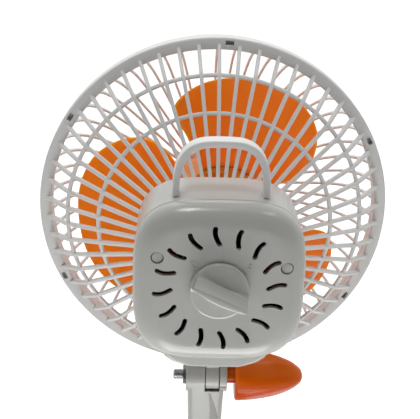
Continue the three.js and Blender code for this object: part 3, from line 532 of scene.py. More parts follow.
def grained(tree, shader, gloss, drift, grain):
    """The moulded surface's group, led to the shader."""
    grains = node(tree, "ShaderNodeGroup", node_tree=grain_group())
    for key, value in (("Gloss", gloss), ("Drift", drift), ("Grain", grain)):
        grains.inputs[key].default_value = value
    wire(tree, (grains, "Tone", shader, "Base Color"), (grains, "Roughness", shader, "Roughness"),
         (grains, "Normal", shader, "Normal"))
    return grains


def plastic(name, tone, gloss, drift, grain, **values):
    """Moulded plastic with a slight drift of tone and a fine grain."""
    material, tree, shader = blank(name, **values)
    grained(tree, shader, gloss, drift, grain).inputs["Tone"].default_value = tone
    return material


@cache
def white_plastic():
    return plastic("moulded_white", colours().cage, 0.42, 0.05, 0.25)


@cache
def grey_plastic():
    return plastic("moulded_grey", colours().housing, 0.2, 0.05, 0.12)


@cache
def orange_plastic():
    return plastic("moulded_orange", colours().blades, 0.42, 0.08, 0.12, Subsurface_Weight=1,
                   Subsurface_Radius=(1, 0.6, 0.2), Subsurface_Scale=0.01, Specular_IOR_Level=0.25)


@cache
def black_plastic():
    return plastic("moulded_black", (0.012, 0.012, 0.013, 1), 0.5, 0.2, 0.3)


@cache
def rubber():
    return plastic("soft_rubber", colours().rubber, 0.82, 0.3, 0.8)


@cache
def amber_plastic():
    """Tinted plastic whose lower part, from just above the bolt down, is painted darker: painted shade under
    its lit top.
    """
    material, tree, shader = blank("tinted_amber", Specular_IOR_Level=0.2, Subsurface_Weight=0.5,
                                   Subsurface_Radius=(1, 0.3, 0.05), Subsurface_Scale=0.006)
    grains = grained(tree, shader, 0.22, 0.12, 0.06)
    place = node(tree, "ShaderNodeTexCoord")
    parts = node(tree, "ShaderNodeSeparateXYZ")
    # painted shade: by height, the knob's colour runs from the darker shade colour low down to the lit colour
    # above the bolt
    ends = {"From Min": (HINGE.z - 3.2) * MM, "From Max": (HINGE.z + 5.0) * MM}
    band = node(tree, "ShaderNodeMapRange", ends, interpolation_type="SMOOTHSTEP")
    mix = node(tree, "ShaderNodeMix", data_type="RGBA")
    mix.inputs["A"].default_value = colours().wing_shade
    mix.inputs["B"].default_value = colours().wing_knob
    wire(tree, (place, "Object", parts, "Vector"), (parts, "Z", band, "Value"),
         (band, "Result", mix, "Factor"), (mix, "Result", grains, "Tone"))
    return material


@cache
def steel():
    """Drawn steel with fine lines along its length and a little drift of gloss."""
    material, tree, shader = blank("drawn_steel", Metallic=1)
    place = node(tree, "ShaderNodeTexCoord")
    stretch = node(tree, "ShaderNodeMapping", {"Scale": (300, 3000, 3000)})
    lines = node(tree, "ShaderNodeTexNoise", {"Scale": 1})
    gloss = node(tree, "ShaderNodeMapRange", {"To Min": 0.22, "To Max": 0.42})
    tone = node(tree, "ShaderNodeMix", data_type="RGBA")
    tone.inputs["A"].default_value = [c * 0.8 for c in colours().steel[:3]] + [1]
    tone.inputs["B"].default_value = colours().steel
    bump = node(tree, "ShaderNodeBump", {"Strength": 0.15, "Distance": 0.00003})
    wire(
        tree,
        (place, "Object", stretch, "Vector"), (stretch, "Vector", lines, "Vector"),
        (lines, "Fac", gloss, "Value"), (lines, "Fac", tone, "Factor"), (lines, "Fac", bump, "Height"),
        (gloss, "Result", shader, "Roughness"), (tone, "Result", shader, "Base Color"),
        (bump, "Normal", shader, "Normal"),
    )
    return material


def banded(name, dark, light, pitch, direction, metallic, rough):
    """Layers or turns: bands across one axis, with their edges in relief."""
    material, tree, shader = blank(name, Metallic=metallic, Roughness=rough)
    place = node(tree, "ShaderNodeTexCoord")
    bands = node(tree, "ShaderNodeTexWave",
                 {"Scale": TAU / 20 / (pitch * MM), "Distortion": 0.4, "Detail Scale": 300},
                 wave_type="BANDS", bands_direction=direction)
    tone = node(tree, "ShaderNodeMix", data_type="RGBA")
    tone.inputs["A"].default_value = (*dark, 1)
    tone.inputs["B"].default_value = (*light, 1)
    bump = node(tree, "ShaderNodeBump", {"Strength": 0.5, "Distance": 0.0001})
    wire(tree, (place, "Object", bands, "Vector"), (bands, "Fac", tone, "Factor"),
         (bands, "Fac", bump, "Height"), (tone, "Result", shader, "Base Color"),
         (bump, "Normal", shader, "Normal"))
    return material


# ---------------------------------------------------------------- cage
def snap_pockets(y0, y1, wide=4.0, r0=RIM_R - 3.6, r1=RIM_R - 1.4):
    """Small windows in the rim, one at each snap."""
    corners = ((-wide / 2, r0), (wide / 2, r0), (wide / 2, r1), (-wide / 2, r1))
    turns = [TAU * n / SNAPS - math.pi / RIBS for n in range(SNAPS)]
    return merged(*(loft([[polar(r, y, t, w) + HEAD for w, r in corners] for y in (y0, y1)]) for t in turns))


class CLIPFAN_OT_rear_grille(bpy.types.Operator):
    """Rear half of the cage: rim, ribs, two rings and the plate on the motor's nose"""
    bl_idname = "clipfan.rear_grille"
    bl_label = "Rear grille"

    def execute(self, context):
        near, far = RIM_Y + GAP / 2, RIM_Y + RIM_HALF
        rim = tube(RIM_IN, RIM_R, near, far, RIM_SOFT, 5, 324)
        rim = carved(rim, cuts=[snap_pockets(near + 1.2, far + 1)])
        line = rounded(REAR_LINE, 14, 8, closed=False)
        long = []
        for a, b in zip(line, line[1:]):
            count = max(1, round((b - a).length / 6))
            long += [a.lerp(b, k / count) for k in range(count)]
        long.append(line[-1])
        bars = ribs(long, -REAR_DEEP, sizes().rear_rib / MM)
        hoops = [hoop(line, r, -REAR_DEEP) for r in REAR_RINGS]
        plate = tube(MOTOR_HOLE, PLATE_R, PLATE_Y, PLATE_Y + PLATE_THICK, 0.7, 3, 108)
        make("rear_grille_form", merged(rim, bars, *hoops, plate), "head", white_plastic(),
             ["rear_grille"])
        return {"FINISHED"}


class CLIPFAN_OT_front_grille(bpy.types.Operator):
    """Front half of the cage: rim, thin ribs, middle disc and its cap"""
    bl_idname = "clipfan.front_grille"
    bl_label = "Front grille"

    def execute(self, context):
        near, far = RIM_Y - GAP / 2, RIM_Y - RIM_HALF
        rim = tube(RIM_IN, RIM_R, near, far, RIM_SOFT, 5, 324)
        line = [Vector(p) for p in smooth_line(FRONT_LINE, 6)]
        bars = ribs(line, -FRONT_DEEP, sizes().front_rib / MM)
        disc = rod(DISC_R, FRONT_Y, FRONT_Y + DISC_THICK, "y", HEAD, 0.5, 108)
        make("front_grille_form", merged(rim, bars, disc), "head", white_plastic(),
             ["front_grille"])
        front = highest("front_cap").y - HEAD.y
        cap = smooth_line([(0, front - 2.8), (12, front - 2.55), (17.5, front - 2.2), (20, front - 1.6),
                           (21, front - 0.7), (21, front)], 4)
        cap = cap + [(0, front)]
        ring = tube(14.2, 14.9, front - 2.9, front - 2.2, 0.15, 2)
        make("front_cap_form", merged(turned(cap, 96), ring), "head", white_plastic(),
             ["front_cap"])
        return {"FINISHED"}


# ---------------------------------------------------------------- blades
# radius, then the angles of the blade's two edges there
BLADE_STATIONS = [(22.4, 17, -72), (34, 18, -76), (45, 20, -74), (54, 22.5, -68), (61, 19.5, -60),
                  (66.5, 9, -51), (69.3, -3, -41), (70.2, -14, -31)]

# place along the axis at angle 0, rise with each degree, and half the thickness
BLADE_Y = 23
BLADE_RISE = 0.25
BLADE_HALF = 0.8


def blade(turn):
    across = [0, 0.006, 0.02, 0.05, *(0.1 + 0.8 * i / 12 for i in range(13)), 0.95, 0.98, 0.994, 1]
    body = [0.3, 0.72, 0.95, 1, *(1 for _ in range(13)), 1, 0.95, 0.72, 0.3]
    rows = smooth_line(BLADE_STATIONS, 5)
    top, low = [], []
    for i, (r, first, last) in enumerate(rows):
        tip = 1 if i < len(rows) - 2 else 0.75 if i < len(rows) - 1 else 0.35
        for f, full in zip(across, body):
            angle = first + (last - first) * f
            t = math.radians(angle) + turn
            y = BLADE_Y + BLADE_RISE * angle
            slope = BLADE_RISE * 180 / math.pi / r
            out = Vector((-slope * math.cos(t), 1, slope * math.sin(t))).normalized()
            here = polar(r, y, t) + HEAD
            half = BLADE_HALF * min(full, tip)
            top.append(here + out * half)
            low.append(here - out * half)
    columns, count = len(across), len(rows)
    base = len(top)
    faces = []
    for i in range(count - 1):
        for j in range(columns - 1):
            a, d = i * columns + j, (i + 1) * columns + j
            b, c = a + 1, d + 1
            faces += [(a, b, c, d), (base + a, base + d, base + c, base + b)]
        for j in (0, columns - 1):
            a, d = i * columns + j, (i + 1) * columns + j
            faces.append((a, d, base + d, base + a))
    for i in (0, count - 1):
        for j in range(columns - 1):
            a, b = i * columns + j, i * columns + j + 1
            faces.append((a, b, base + b, base + a))
    return top + low, faces


class CLIPFAN_OT_fan_blade(bpy.types.Operator):
    """Three-bladed rotor with its hub and retainer"""
    bl_idname = "clipfan.fan_blade"
    bl_label = "Fan blades"

    def execute(self, context):
        hub = rounded([(3.3, 1), (24, 1), (24, 31), (22, 31), (22, 3.2), (7, 3.2), (7, 25), (3.3, 25)],
                      [0.3, 3.0, 0.6, 0.4, 2.4, 0.6, 0.5, 0.3], 5)
        parts = [turned(hub, 120)] + [blade(TAU * n / 3) for n in range(3)]
        make("fan_blade_form", merged(*parts), "rotor_and_blade", orange_plastic(),
             ["fan_blade"])
        front = highest("blade_retainer").y - HEAD.y
        cap = rounded([(0, front - 6), (4, front - 6), (6.2, front - 4.8), (7.5, front), (3.3, front),
                       (3.3, front - 3.4), (0, front - 3.4)], [0, 0.8, 1.0, 0.3, 0.2, 0.2, 0], 3)
        grip = rod(0.55, front - 4.2, front - 0.4, "y", HEAD, 0.25, 10)
        grips = [moved(grip, polar(6.75, 0, TAU * n / 20)) for n in range(20)]
        make("blade_retainer_form", merged(turned(cap, 60), *grips), "rotor_and_blade",
             orange_plastic(), ["blade_retainer"])
        return {"FINISHED"}


# ---------------------------------------------------------------- housing
def chin_outline(shrink=0.0, lift=0.0):
    right = [(12, -CHIN_DROP), (CHIN_HALF - 4.7, 2.5 - CHIN_DROP), (CHIN_HALF - 0.8, 5.3 - CHIN_DROP),
             (CHIN_HALF, 7.5 - CHIN_DROP), (CHIN_HALF, 4 - BODY_HALF)]
    both = [(-x, z) for x, z in reversed(right)] + right
    soft = rounded(both, [0, 2, 3, 5, 12, 12, 5, 3, 2, 0], 5)
    return [(p.x * (1 - shrink / CHIN_HALF), p.y + lift) for p in soft]


class CLIPFAN_OT_front_housing(bpy.types.Operator):
    """Drum of the motor housing with its round nose, the chin under it and the hinge lug"""
    bl_idname = "clipfan.front_housing"
    bl_label = "Front housing"

    def execute(self, context):
        nose = PLATE_Y + PLATE_THICK + GAP
        nose_rows = [(2, nose), (PLATE_R - 0.7, nose), (PLATE_R, nose + 0.7), (PLATE_R, BODY_Y0 - 1.4),
                     (PLATE_R + 0.5, BODY_Y0 - 0.3), (PLATE_R + 1.6, BODY_Y0)]
        body_rows = [(2.6, BODY_Y0), (1.2, BODY_Y0 + 0.35), (0.3, BODY_Y0 + 1.2), (0, BODY_Y0 + 2.4), (0, 90),
                     (0, SEAM_Y - 0.5), (0.4, SEAM_Y), (6.8, SEAM_Y)]
        drum = [squircle(r, y, 2) for r, y in nose_rows]
        drum += [squircle(BODY_HALF - inset, y) for inset, y in body_rows]
        chin_rows = [(CHIN_Y0, 3), (CHIN_Y0 + 0.7, 1.3), (CHIN_Y0 + 2, 0.4), (CHIN_Y0 + 4, 0),
                     (CHIN_Y1 - 3.4, 0), (CHIN_Y1 - 1.4, 0.5), (CHIN_Y1 - 0.4, 1.4), (CHIN_Y1, 2.6)]
        chin = loft([[Vector((x * (1 - inset / CHIN_HALF), y, z + inset * 0.6)) + HEAD
                      for x, z in chin_outline()] for y, inset in chin_rows])
        half = BODY_HALF - BODY_WALL
        inside = loft([squircle(half, BODY_Y0 + 2.5), squircle(half, SEAM_Y + 2)])
        room = tube(0, 27, nose + 3, BODY_Y0 + 4, steps=72)
        hollow = slab(chin_outline(3, 3), "y", BODY_Y0 + 3, CHIN_Y1 - 3, HEAD)
        hole = tube(0, MOTOR_HOLE, nose - 1, nose + 5, steps=60)
        shell = carved(loft(drum), [chin], [inside, room, hollow, hole])
        left, right = HEAD.x - LUG_HALF, HEAD.x + LUG_HALF
        disc = rod(LUG_R, left, right, "x", HINGE, 0.5)
        web = brick((left, HINGE.y - WEB_HALF, HINGE.z), (right, HINGE.y + WEB_HALF, HEAD.z - CHIN_DROP + 4))
        lug = carved(softened(web, 0.5), [disc], [rod(BOLT_BORE, -CLEAR, CLEAR, "x", HINGE, 0)])
        bosses = []
        for n in range(3):
            post = tube(1.9, 4, nose + 2, nose + 11, 0.3, 2, 32)
            bosses.append(moved(post, polar(BOSS_RING, 0, TAU * n / 3)))
        make("front_housing_form", merged(shell, lug, *bosses), "head", grey_plastic(),
             ["front_housing"], flat=True)
        return {"FINISHED"}


def vent(t):
    """A bent slot with round ends that leans as it goes out."""
    half = sizes().vent / MM / 2
    line = []
    for i in range(13):
        s = i / 12
        r = VENT_IN + half + (VENT_OUT - VENT_IN - 2 * half) * s
        lean = t + math.radians(9 * (s * 1.3 - s * s * 0.9))
        line.append(Vector((r * math.sin(lean), r * math.cos(lean))))
    outline = []
    for side in (1, -1):
        row = line if side > 0 else line[::-1]
        for i, p in enumerate(row):
            along = (row[min(i + 1, 12)] - row[max(i - 1, 0)]).normalized()
            outline.append(p + Vector((-along.y, along.x)) * half)
        end, along = row[-1], (row[-1] - row[-2]).normalized()
        for k in range(1, 6):
            a = math.pi * k / 6
            outline.append(end + (Vector((-along.y, along.x)) * math.cos(a) + along * math.sin(a)) * half)
    return slab([(p.x, p.y) for p in outline], "y", COVER_Y - 7, COVER_Y + 2, HEAD)


class CLIPFAN_OT_rear_cover(bpy.types.Operator):
    """Rear cover with its ring of vents, two plugs and the dial numbers"""
    bl_idname = "clipfan.rear_cover"
    bl_label = "Rear cover"

    def execute(self, context):
        y0 = SEAM_Y + GAP
        rows = [(0.4, y0), (0, y0 + 0.4), (0, y0 + 1.6), (0.25, y0 + 3.2), (1.2, y0 + 5.0), (2.6, y0 + 6.6),
                (4.4, y0 + 8.0), (6.3, y0 + 9.0), (8.1, y0 + 9.5), (10.1, COVER_Y)]
        outside = loft([squircle(BODY_HALF - inset, y) for inset, y in rows])
        rows = [(0, y0 - 1), (0, y0 + 2.5), (3, y0 + 5.6), (7.3, COVER_Y - BODY_WALL)]
        inside = loft([squircle(BODY_HALF - BODY_WALL - inset, y) for inset, y in rows])
        vents = merged(*(vent(math.radians(1.7) + TAU * n / VENTS) for n in range(VENTS)))
        plugs = [middle("plug_left"), middle("plug_right")]
        spots = [Vector((p.x, HEAD.y, p.z)) for p in plugs]
        holes = merged(*(rod(PLUG_R + GAP, y0, COVER_Y + 2, "y", spot, 0) for spot in spots),
                       rod(3.2, y0, COVER_Y + 2, "y", HEAD, 0))
        face = HEAD.y + COVER_Y
        shell = carved(outside, cuts=[inside, vents, holes])
        shell = softened(shell, 0.28, 60, 2, lambda a, b: abs(a.y - face) < 0.01 and abs(b.y - face) < 0.01)
        make("rear_cover_form", shell, "head", grey_plastic(), ["rear_cover"], flat=True)
        for side, spot in zip(("left", "right"), spots):
            top = highest(f"plug_{side}").y - HEAD.y
            plug = tube(0, PLUG_R, top - 2.7, top, [0, 0.3, 0.35, 0], 3, 40, "y", spot)
            make(f"plug_{side}_form", plug, "head", grey_plastic(), [f"plug_{side}"])
        self.marks(face)
        return {"FINISHED"}

    def marks(self, face):
        """Dial numbers, each turned to face out from the knob."""
        for text, x, z in (("0", 10.8, 11.1), ("1", -1.0, 15.3), ("2", -11.6, 10.0)):
            curve = bpy.data.curves.new(f"dial_mark_{text}", "FONT")
            curve.body = text
            curve.size = sizes().mark_height * 1.25
            curve.align_x, curve.align_y = "CENTER", "CENTER"
            curve.extrude = sizes().mark_lift
            curve.bevel_depth = 0.00008
            curve.offset = -0.00005
            obj = bpy.data.objects.new(f"dial_mark_{text}", curve)
            bpy.context.scene.collection.objects.link(obj)
            turn = math.atan2(-x, z)
            up = Vector((-math.sin(turn), 0, math.cos(turn)))
            right = Vector((-math.cos(turn), 0, -math.sin(turn)))
            rotation = Matrix((right, up, right.cross(up))).transposed().to_4x4()
            obj.matrix_world = Matrix.Translation((Vector((HEAD.x + x, face, HEAD.z + z))) * MM) @ rotation
            bpy.context.view_layer.update()
            mesh, world = evaluated(obj), obj.matrix_world.copy()
            bpy.data.objects.remove(obj)
            bpy.data.curves.remove(curve)
            mark = to_form(mesh, lambda co: (world @ co) / MM)
            make(f"dial_mark_{text}_form", mark, "head", grey_plastic())


class CLIPFAN_OT_carry_handle(bpy.types.Operator):
    """Arched carry handle over the housing"""
    bl_idname = "clipfan.carry_handle"
    bl_label = "Carry handle"

    def execute(self, context):
        lo, hi = lowest("carry_handle") - HEAD, highest("carry_handle") - HEAD
        half, foot, top = (hi.x - lo.x) / 2, lo.z, hi.z
        band, deep, y = 3, (hi.y - lo.y), (hi.y + lo.y) / 2

        def arch(wide, tall, count=48):
            out = []
            for i in range(count + 1):
                t = math.pi * i / count
                c, s = math.cos(t), math.sin(t)
                out.append((wide * math.copysign(abs(c) ** 0.62, c), foot + tall * s ** 0.75))
            return out

        outer, inner = arch(half, top - foot), arch(half - band, top - foot - band)
        rings = []
        for (xo, zo), (xi, zi) in zip(outer, inner):
            corners = [(xi, zi, -deep / 2), (xo, zo, -deep / 2), (xo, zo, deep / 2), (xi, zi, deep / 2)]
            flat = rounded([Vector((x, y + d, z)) for x, z, d in corners], 0.9, 3)
            rings.append([p + HEAD for p in flat])
        make("carry_handle_form", loft(rings), "head", white_plastic(), ["carry_handle"])
        return {"FINISHED"}


class CLIPFAN_OT_switch_knob(bpy.types.Operator):
    """Rotary switch knob with a scooped fin"""
    bl_idname = "clipfan.switch_knob"
    bl_label = "Switch knob"

    def execute(self, context):
        base = COVER_Y + GAP
        disc = turned(rounded([(0, base), (12.6, base), (12.6, base + 2.2), (11.6, base + 2.6),
                               (0, base + 2.6)], [0, 0.3, 0.6, 0.6, 0], 3), 120)
        stem = rod(2.6, COVER_Y - 9, base + 1, "y", HEAD, 0.2, 32)
        turn = Matrix.Rotation(-math.radians(26), 3, "Y")
        fin = loft([[turn @ p + HEAD for p in self.section(-1 + 2 * i / 32, base)] for i in range(33)])
        make("switch_knob_form", merged(disc, stem, fin), "switch", grey_plastic(),
             ["switch_knob"], angle=48)
        return {"FINISHED"}

    def section(self, share, base):
        """Half way round, the fin's wall leaves the disc in a wide fillet and rises to a thin crest."""
        foot, crest, top = 3 + 2.2 * share ** 2, 1.9 - share ** 2, 12 - 1.3 * share ** 2
        side = [(foot, 1.6), (foot, 2.6)]
        for k in range(1, 9):
            a = math.pi / 2 * k / 8
            side.append((foot - (foot - crest) * 0.72 * math.sin(a) ** 1.4, 2.6 + 3.2 * (1 - math.cos(a))))
        across, up = side[-1]
        side += [(across + (crest - across) * k / 4, up + (top - 0.8 - up) * k / 4) for k in range(1, 5)]
        side += [(crest * 0.86, top - 0.3), (crest * 0.5, top)]
        outline = side + [(-across, up) for across, up in reversed(side)]
        return [Vector((share * math.sqrt(12.2 ** 2 - across ** 2), base + up, across))
                for across, up in outline]


# ---------------------------------------------------------------- hinge
def hexagon(r):
    """A nut's outline round the hinge, in y and z."""
    corners = (TAU * k / 6 for k in range(6))
    return [(HINGE.y + r * math.cos(t), HINGE.z + r * math.sin(t)) for t in corners]


def threaded(x0, x1, r, pitch, steps=20):
    """A rod along the hinge with a rolled thread."""
    count = round((x1 - x0) / pitch * 12)
    rings = []
    for i in range(count + 1):
        x = x0 + (x1 - x0) * i / count
        ring = []
        for j in range(steps):
            t = TAU * j / steps
            phase = ((x - x0) / pitch - j / steps) % 1
            depth = 0.42 * (0.5 + 0.5 * math.cos(TAU * phase)) ** 1.4
            taper = min(1, (x1 - x) / 0.5, (x - x0) / 0.5)
            radius = r - depth - 0.5 * (1 - max(0, taper))
            ring.append(Vector((x, HINGE.y + radius * math.cos(t), HINGE.z + radius * math.sin(t))))
        rings.append(ring)
    return loft(rings)


class CLIPFAN_OT_hinge(bpy.types.Operator):
    """Tilt bolt, nut and the wing knob that clamps them"""
    bl_idname = "clipfan.hinge"
    bl_label = "Tilt hinge"

    def execute(self, context):
        lo, hi = lowest("tilt_bolt"), highest("tilt_bolt")
        bolt = threaded(lo.x, hi.x, 2.5, sizes().thread_pitch / MM)
        make("tilt_bolt_form", bolt, "wing_knob", steel(), ["tilt_bolt"], angle=60)
        lo, hi = lowest("tilt_nut"), highest("tilt_nut")
        ends = [(0, lo.x), (4.1, lo.x), (4.75, lo.x + 0.4), (4.75, hi.x - 0.4), (4.1, hi.x), (0, hi.x)]
        chamfer = turned(ends, 48, "x", HINGE)
        bore = tube(0, 2.75, lo.x - 1, hi.x + 1, 0, 3, 40, "x", HINGE)
        body = carved(slab(hexagon(4.6), "x", lo.x - 0.5, hi.x + 0.5), cuts=[bore], within=[chamfer])
        make("tilt_nut_form", body, "neck", steel(), ["tilt_nut"], angle=30)
        self.knob()
        return {"FINISHED"}

    def knob(self):
        lo, hi = lowest("tilt_knob"), highest("tilt_knob")
        base, tip = hi.x - 3.6, lo.x
        stations = smooth_line([(0.94, 0.0, 0.03), (1, 0.035, 0.04), (1.005, 0.16, 0.07), (0.975, 0.32, 0.11),
                                (0.885, 0.52, 0.14), (0.735, 0.7, 0.14), (0.54, 0.85, 0.12),
                                (0.31, 0.955, 0.08), (0.13, 0.992, 0.04), (0.0, 1.0, 0.0)], 5)
        rings = []
        for share, along, groove in stations:
            ring = []
            for j in range(96):
                t = TAU * j / 96
                radius = 12.6 * max(0.0, share) * (1 - groove * (1 - math.cos(4 * t)) / 2)
                ring.append(Vector((base + (tip - base) * min(1, along), HINGE.y + radius * math.cos(t),
                                    HINGE.z + radius * math.sin(t))))
            rings.append(ring)
        collar = tube(BOLT_BORE, 4, base - 1, hi.x, 0.3, 3, 48, "x", HINGE)
        make("tilt_knob_form", merged(loft(rings), collar), "wing_knob", amber_plastic(),
             ["tilt_knob"], angle=50)


# ---------------------------------------------------------------- neck
class CLIPFAN_OT_neck(bpy.types.Operator):
    """Neck with the hinge ears, its foot on the clip, and the cord gland"""
    bl_idname = "clipfan.neck"
    bl_label = "Neck"

    def execute(self, context):
        def block(half_x, half_y, z, power=6, steps=64):
            ring = []
            for i in range(steps):
                t = TAU * i / steps
                c, s = math.cos(t), math.sin(t)
                r = 1 / (abs(c) ** power + abs(s) ** power) ** (1 / power)
                ring.append(Vector((half_x * r * c, half_y * r * s, z)))
            return ring

        rows = [(8.9, 7.6, 117), (8.5, 7.6, 104), (8.1, 7.6, 91), (8.05, 7.9, 82), (8.1, 8.6, 73.3),
                (8.8, 9.4, 69.9), (10, 10.6, 67.9), (11.4, 11.9, 66.9), (13, 13.2, 66.4)]
        pillar = loft([block(*row, power=6 - 3.4 * max(0, (73.3 - row[2]) / 7)) for row in rows])
        ears = rod(8, -10.2, 9.6, "x", HINGE, 0.7, 96)
        foot = tube(0, 14, CLIP_TOP + GAP, CLIP_TOP + 7.3, [0, 0.4, 1.6, 0], 5, 96, "z", ORIGIN)
        spindle = rod(SPINDLE_R, CLIP_TOP - 5.7, CLIP_TOP + 1, "z", ORIGIN, 0.3, 64)
        left, right = HEAD.x - LUG_HALF - GAP, HEAD.x + LUG_HALF + GAP
        slot = brick((left, -CLEAR, HINGE.z - 5), (right, CLEAR, HINGE.z + CLEAR))
        floor = rod(LUG_R + 0.8, left, right, "x", HINGE, 0, 96)
        seat = slab(hexagon(5), "x", 8.2, 15)
        bore = rod(BOLT_BORE, -CLEAR, CLEAR, "x", HINGE, 0, 48)
        gland_z = middle("cord_gland").z
        gland_hole = rod(GLAND_R + GAP, 3.6, 17, "y", Vector((0, 0, gland_z)), 0, 40)
        crease = []
        for edge, wide, deep, z in ((-1.3, 0.9, 0.4, 111.5), (-2, 2.5, 1.3, 104.5), (-2.5, 4.2, 2.2, 97.1),
                                    (-3, 4.8, 1.4, 91), (-3.2, 4.8, 0.3, 86.6)):
            outline = ((edge, 12), (edge, 7.6), (edge - wide * 0.8, 7.6 - deep), (edge - wide, 7.6),
                       (edge - wide, 12))
            crease.append([Vector((x, y, z)) for x, y in outline])
        shape = carved(ears, [pillar, foot, spindle], [slot, floor, seat, bore, gland_hole, loft(crease)])
        make("neck_form", shape, "neck", grey_plastic(), ["neck"], flat=True, angle=32)
        self.gland(gland_z)
        return {"FINISHED"}

    def gland(self, z):
        lo, hi = lowest("cord_gland"), highest("cord_gland")
        end = hi.y
        profile = [(2.2, lo.y), (GLAND_R, lo.y), (GLAND_R, end - 1.8), (5, end - 1.8), (5, end), (2.2, end)]
        body = turned(rounded(profile, [0.2, 0.3, 0.2, 0.3, 0.7, 0.3], 3), 48, "y", Vector((0, 0, z)))
        make("cord_gland_form", body, "neck", rubber(), ["cord_gland"])


# ---------------------------------------------------------------- clip
def cheeks(outline, x0, x1):
    """The two plates of one half of the clip that carry the pin."""
    soft = rounded(outline, [0, 0, 3, 2, 2, 3], 4)
    return [slab(soft, "x", x0, x1), slab(soft, "x", -x1, -x0)]


class CLIPFAN_OT_clip(bpy.types.Operator):
    """Both halves of the spring clip, their pads and the hinge pin"""
    bl_idname = "clipfan.clip"
    bl_label = "Clip"

    def execute(self, context):
        bore = rod(PIN_BORE, -2 * CLEAR, 2 * CLEAR, "x", PIN, 0, 48)
        self.upper(bore)
        self.lower(bore)
        self.pad("pad_upper", "clip", 1)
        self.pad("pad_lower", "jaw", -1)
        self.pin()
        return {"FINISHED"}

    def upper(self, bore):
        top, wall = CLIP_TOP, CLIP_TOP - CLIP_WALL
        tip = CLIP_SEAM + GAP / 2 + PAD_THICK + GAP
        outline = [(-48, tip), (-48, tip + 6), (-34, tip + 25), (-24, top - 3), (-16, top), (17, top),
                   (30, top - 5), (46, top - 9), (46, top - 13.5), (29, top - 9.8), (15, wall), (-14, wall),
                   (-21, top - 8.5), (-31, tip + 16), (-35, tip)]
        soft = rounded(outline, [0.6, 3, 10, 8, 5, 8, 6, 1.8, 1.8, 6, 8, 6, 6, 6, 0.8], 5)
        shell = softened(slab(soft, "x", -CLIP_HALF, CLIP_HALF), 1.1, 60, 4)
        plate = [(-16, top - 4), (16, top - 4), (13, 23), (9, 19.5), (3, 19.5), (-1, 23)]
        spindle = rod(SPINDLE_R + GAP, top - 7, top + 1, "z", ORIGIN, 0, 64)
        upper = carved(shell, cheeks(plate, CHEEK_IN, CHEEK_IN + CHEEK_THICK), [spindle, bore])
        grips = [rod(1.0, -17, 17, "x", Vector((0, 33 + 4.2 * k, top - 5.45 - 1.05 * k)), 0.8, 20)
                 for k in range(3)]
        make("clip_top_form", merged(upper, *grips), "clip", grey_plastic(), ["clip_top"],
             flat=True)

    def lower(self, bore):
        top, inner = JAW_THICK, CHEEK_IN - GAP
        tip = CLIP_SEAM - GAP / 2 - PAD_THICK - GAP
        outline = [(-46, 0), (44, 0), (46, 2), (46, 6), (34, top), (-32, top), (-35, tip), (-48, tip),
                   (-48, 2)]
        soft = rounded(outline, [1, 1, 1, 1.5, 6, 2, 0.6, 0.6, 1], 4)
        shell = softened(slab(soft, "x", -CLIP_HALF, CLIP_HALF), 0.9, 60, 3)
        plate = [(-9, 4), (18, 4), (12, 29), (9, 32), (3, 32), (0, 29)]
        slot = brick((LEG_X - 1.5, 9, -1), (LEG_X + 1.5, 37.5, 7))
        lower = carved(shell, cheeks(plate, inner - CHEEK_THICK, inner), [slot, bore])
        make("clip_jaw_form", lower, "jaw", grey_plastic(), ["clip_jaw"], flat=True)

    def pad(self, name, body, side):
        """A pad with flat teeth; side is 1 for the upper pad, whose teeth point down."""
        lo, hi = lowest(name), highest(name)
        face, back = (lo.z, hi.z) if side > 0 else (hi.z, lo.z)
        valley = face + 0.6 * side
        line = [(lo.y, back), (lo.y, face + 0.5 * side)]
        for k in range(PAD_TEETH):
            y = lo.y + (hi.y - lo.y) * (k + 0.5) / PAD_TEETH
            line += [(y - 0.55, face), (y + 0.55, face), (y + 0.75, valley), (y + 0.9, valley)]
        line[-1] = (hi.y, valley)
        line.append((hi.y, back))
        form = softened(slab(line, "x", lo.x, hi.x), 0.15, 50, 1)
        make(f"{name}_form", form, body, rubber(), [name])

    def pin(self):
        lo, hi = lowest("clip_pin"), highest("clip_pin")
        flange = hi.x - 1.4
        profile = [(0, lo.x), (3.6, lo.x + 0.1), (4.6, lo.x + 0.9), (4.6, -flange), (3, -flange), (3, flange),
                   (4.6, flange), (4.6, hi.x - 0.9), (3.6, hi.x - 0.1), (0, hi.x)]
        pin = rounded(profile, [0, 0.6, 0.3, 0.2, 0, 0, 0.2, 0.3, 0.6, 0], 3)
        make("clip_pin_form", turned(pin, 48, "x", PIN), "clip", steel(), ["clip_pin"])


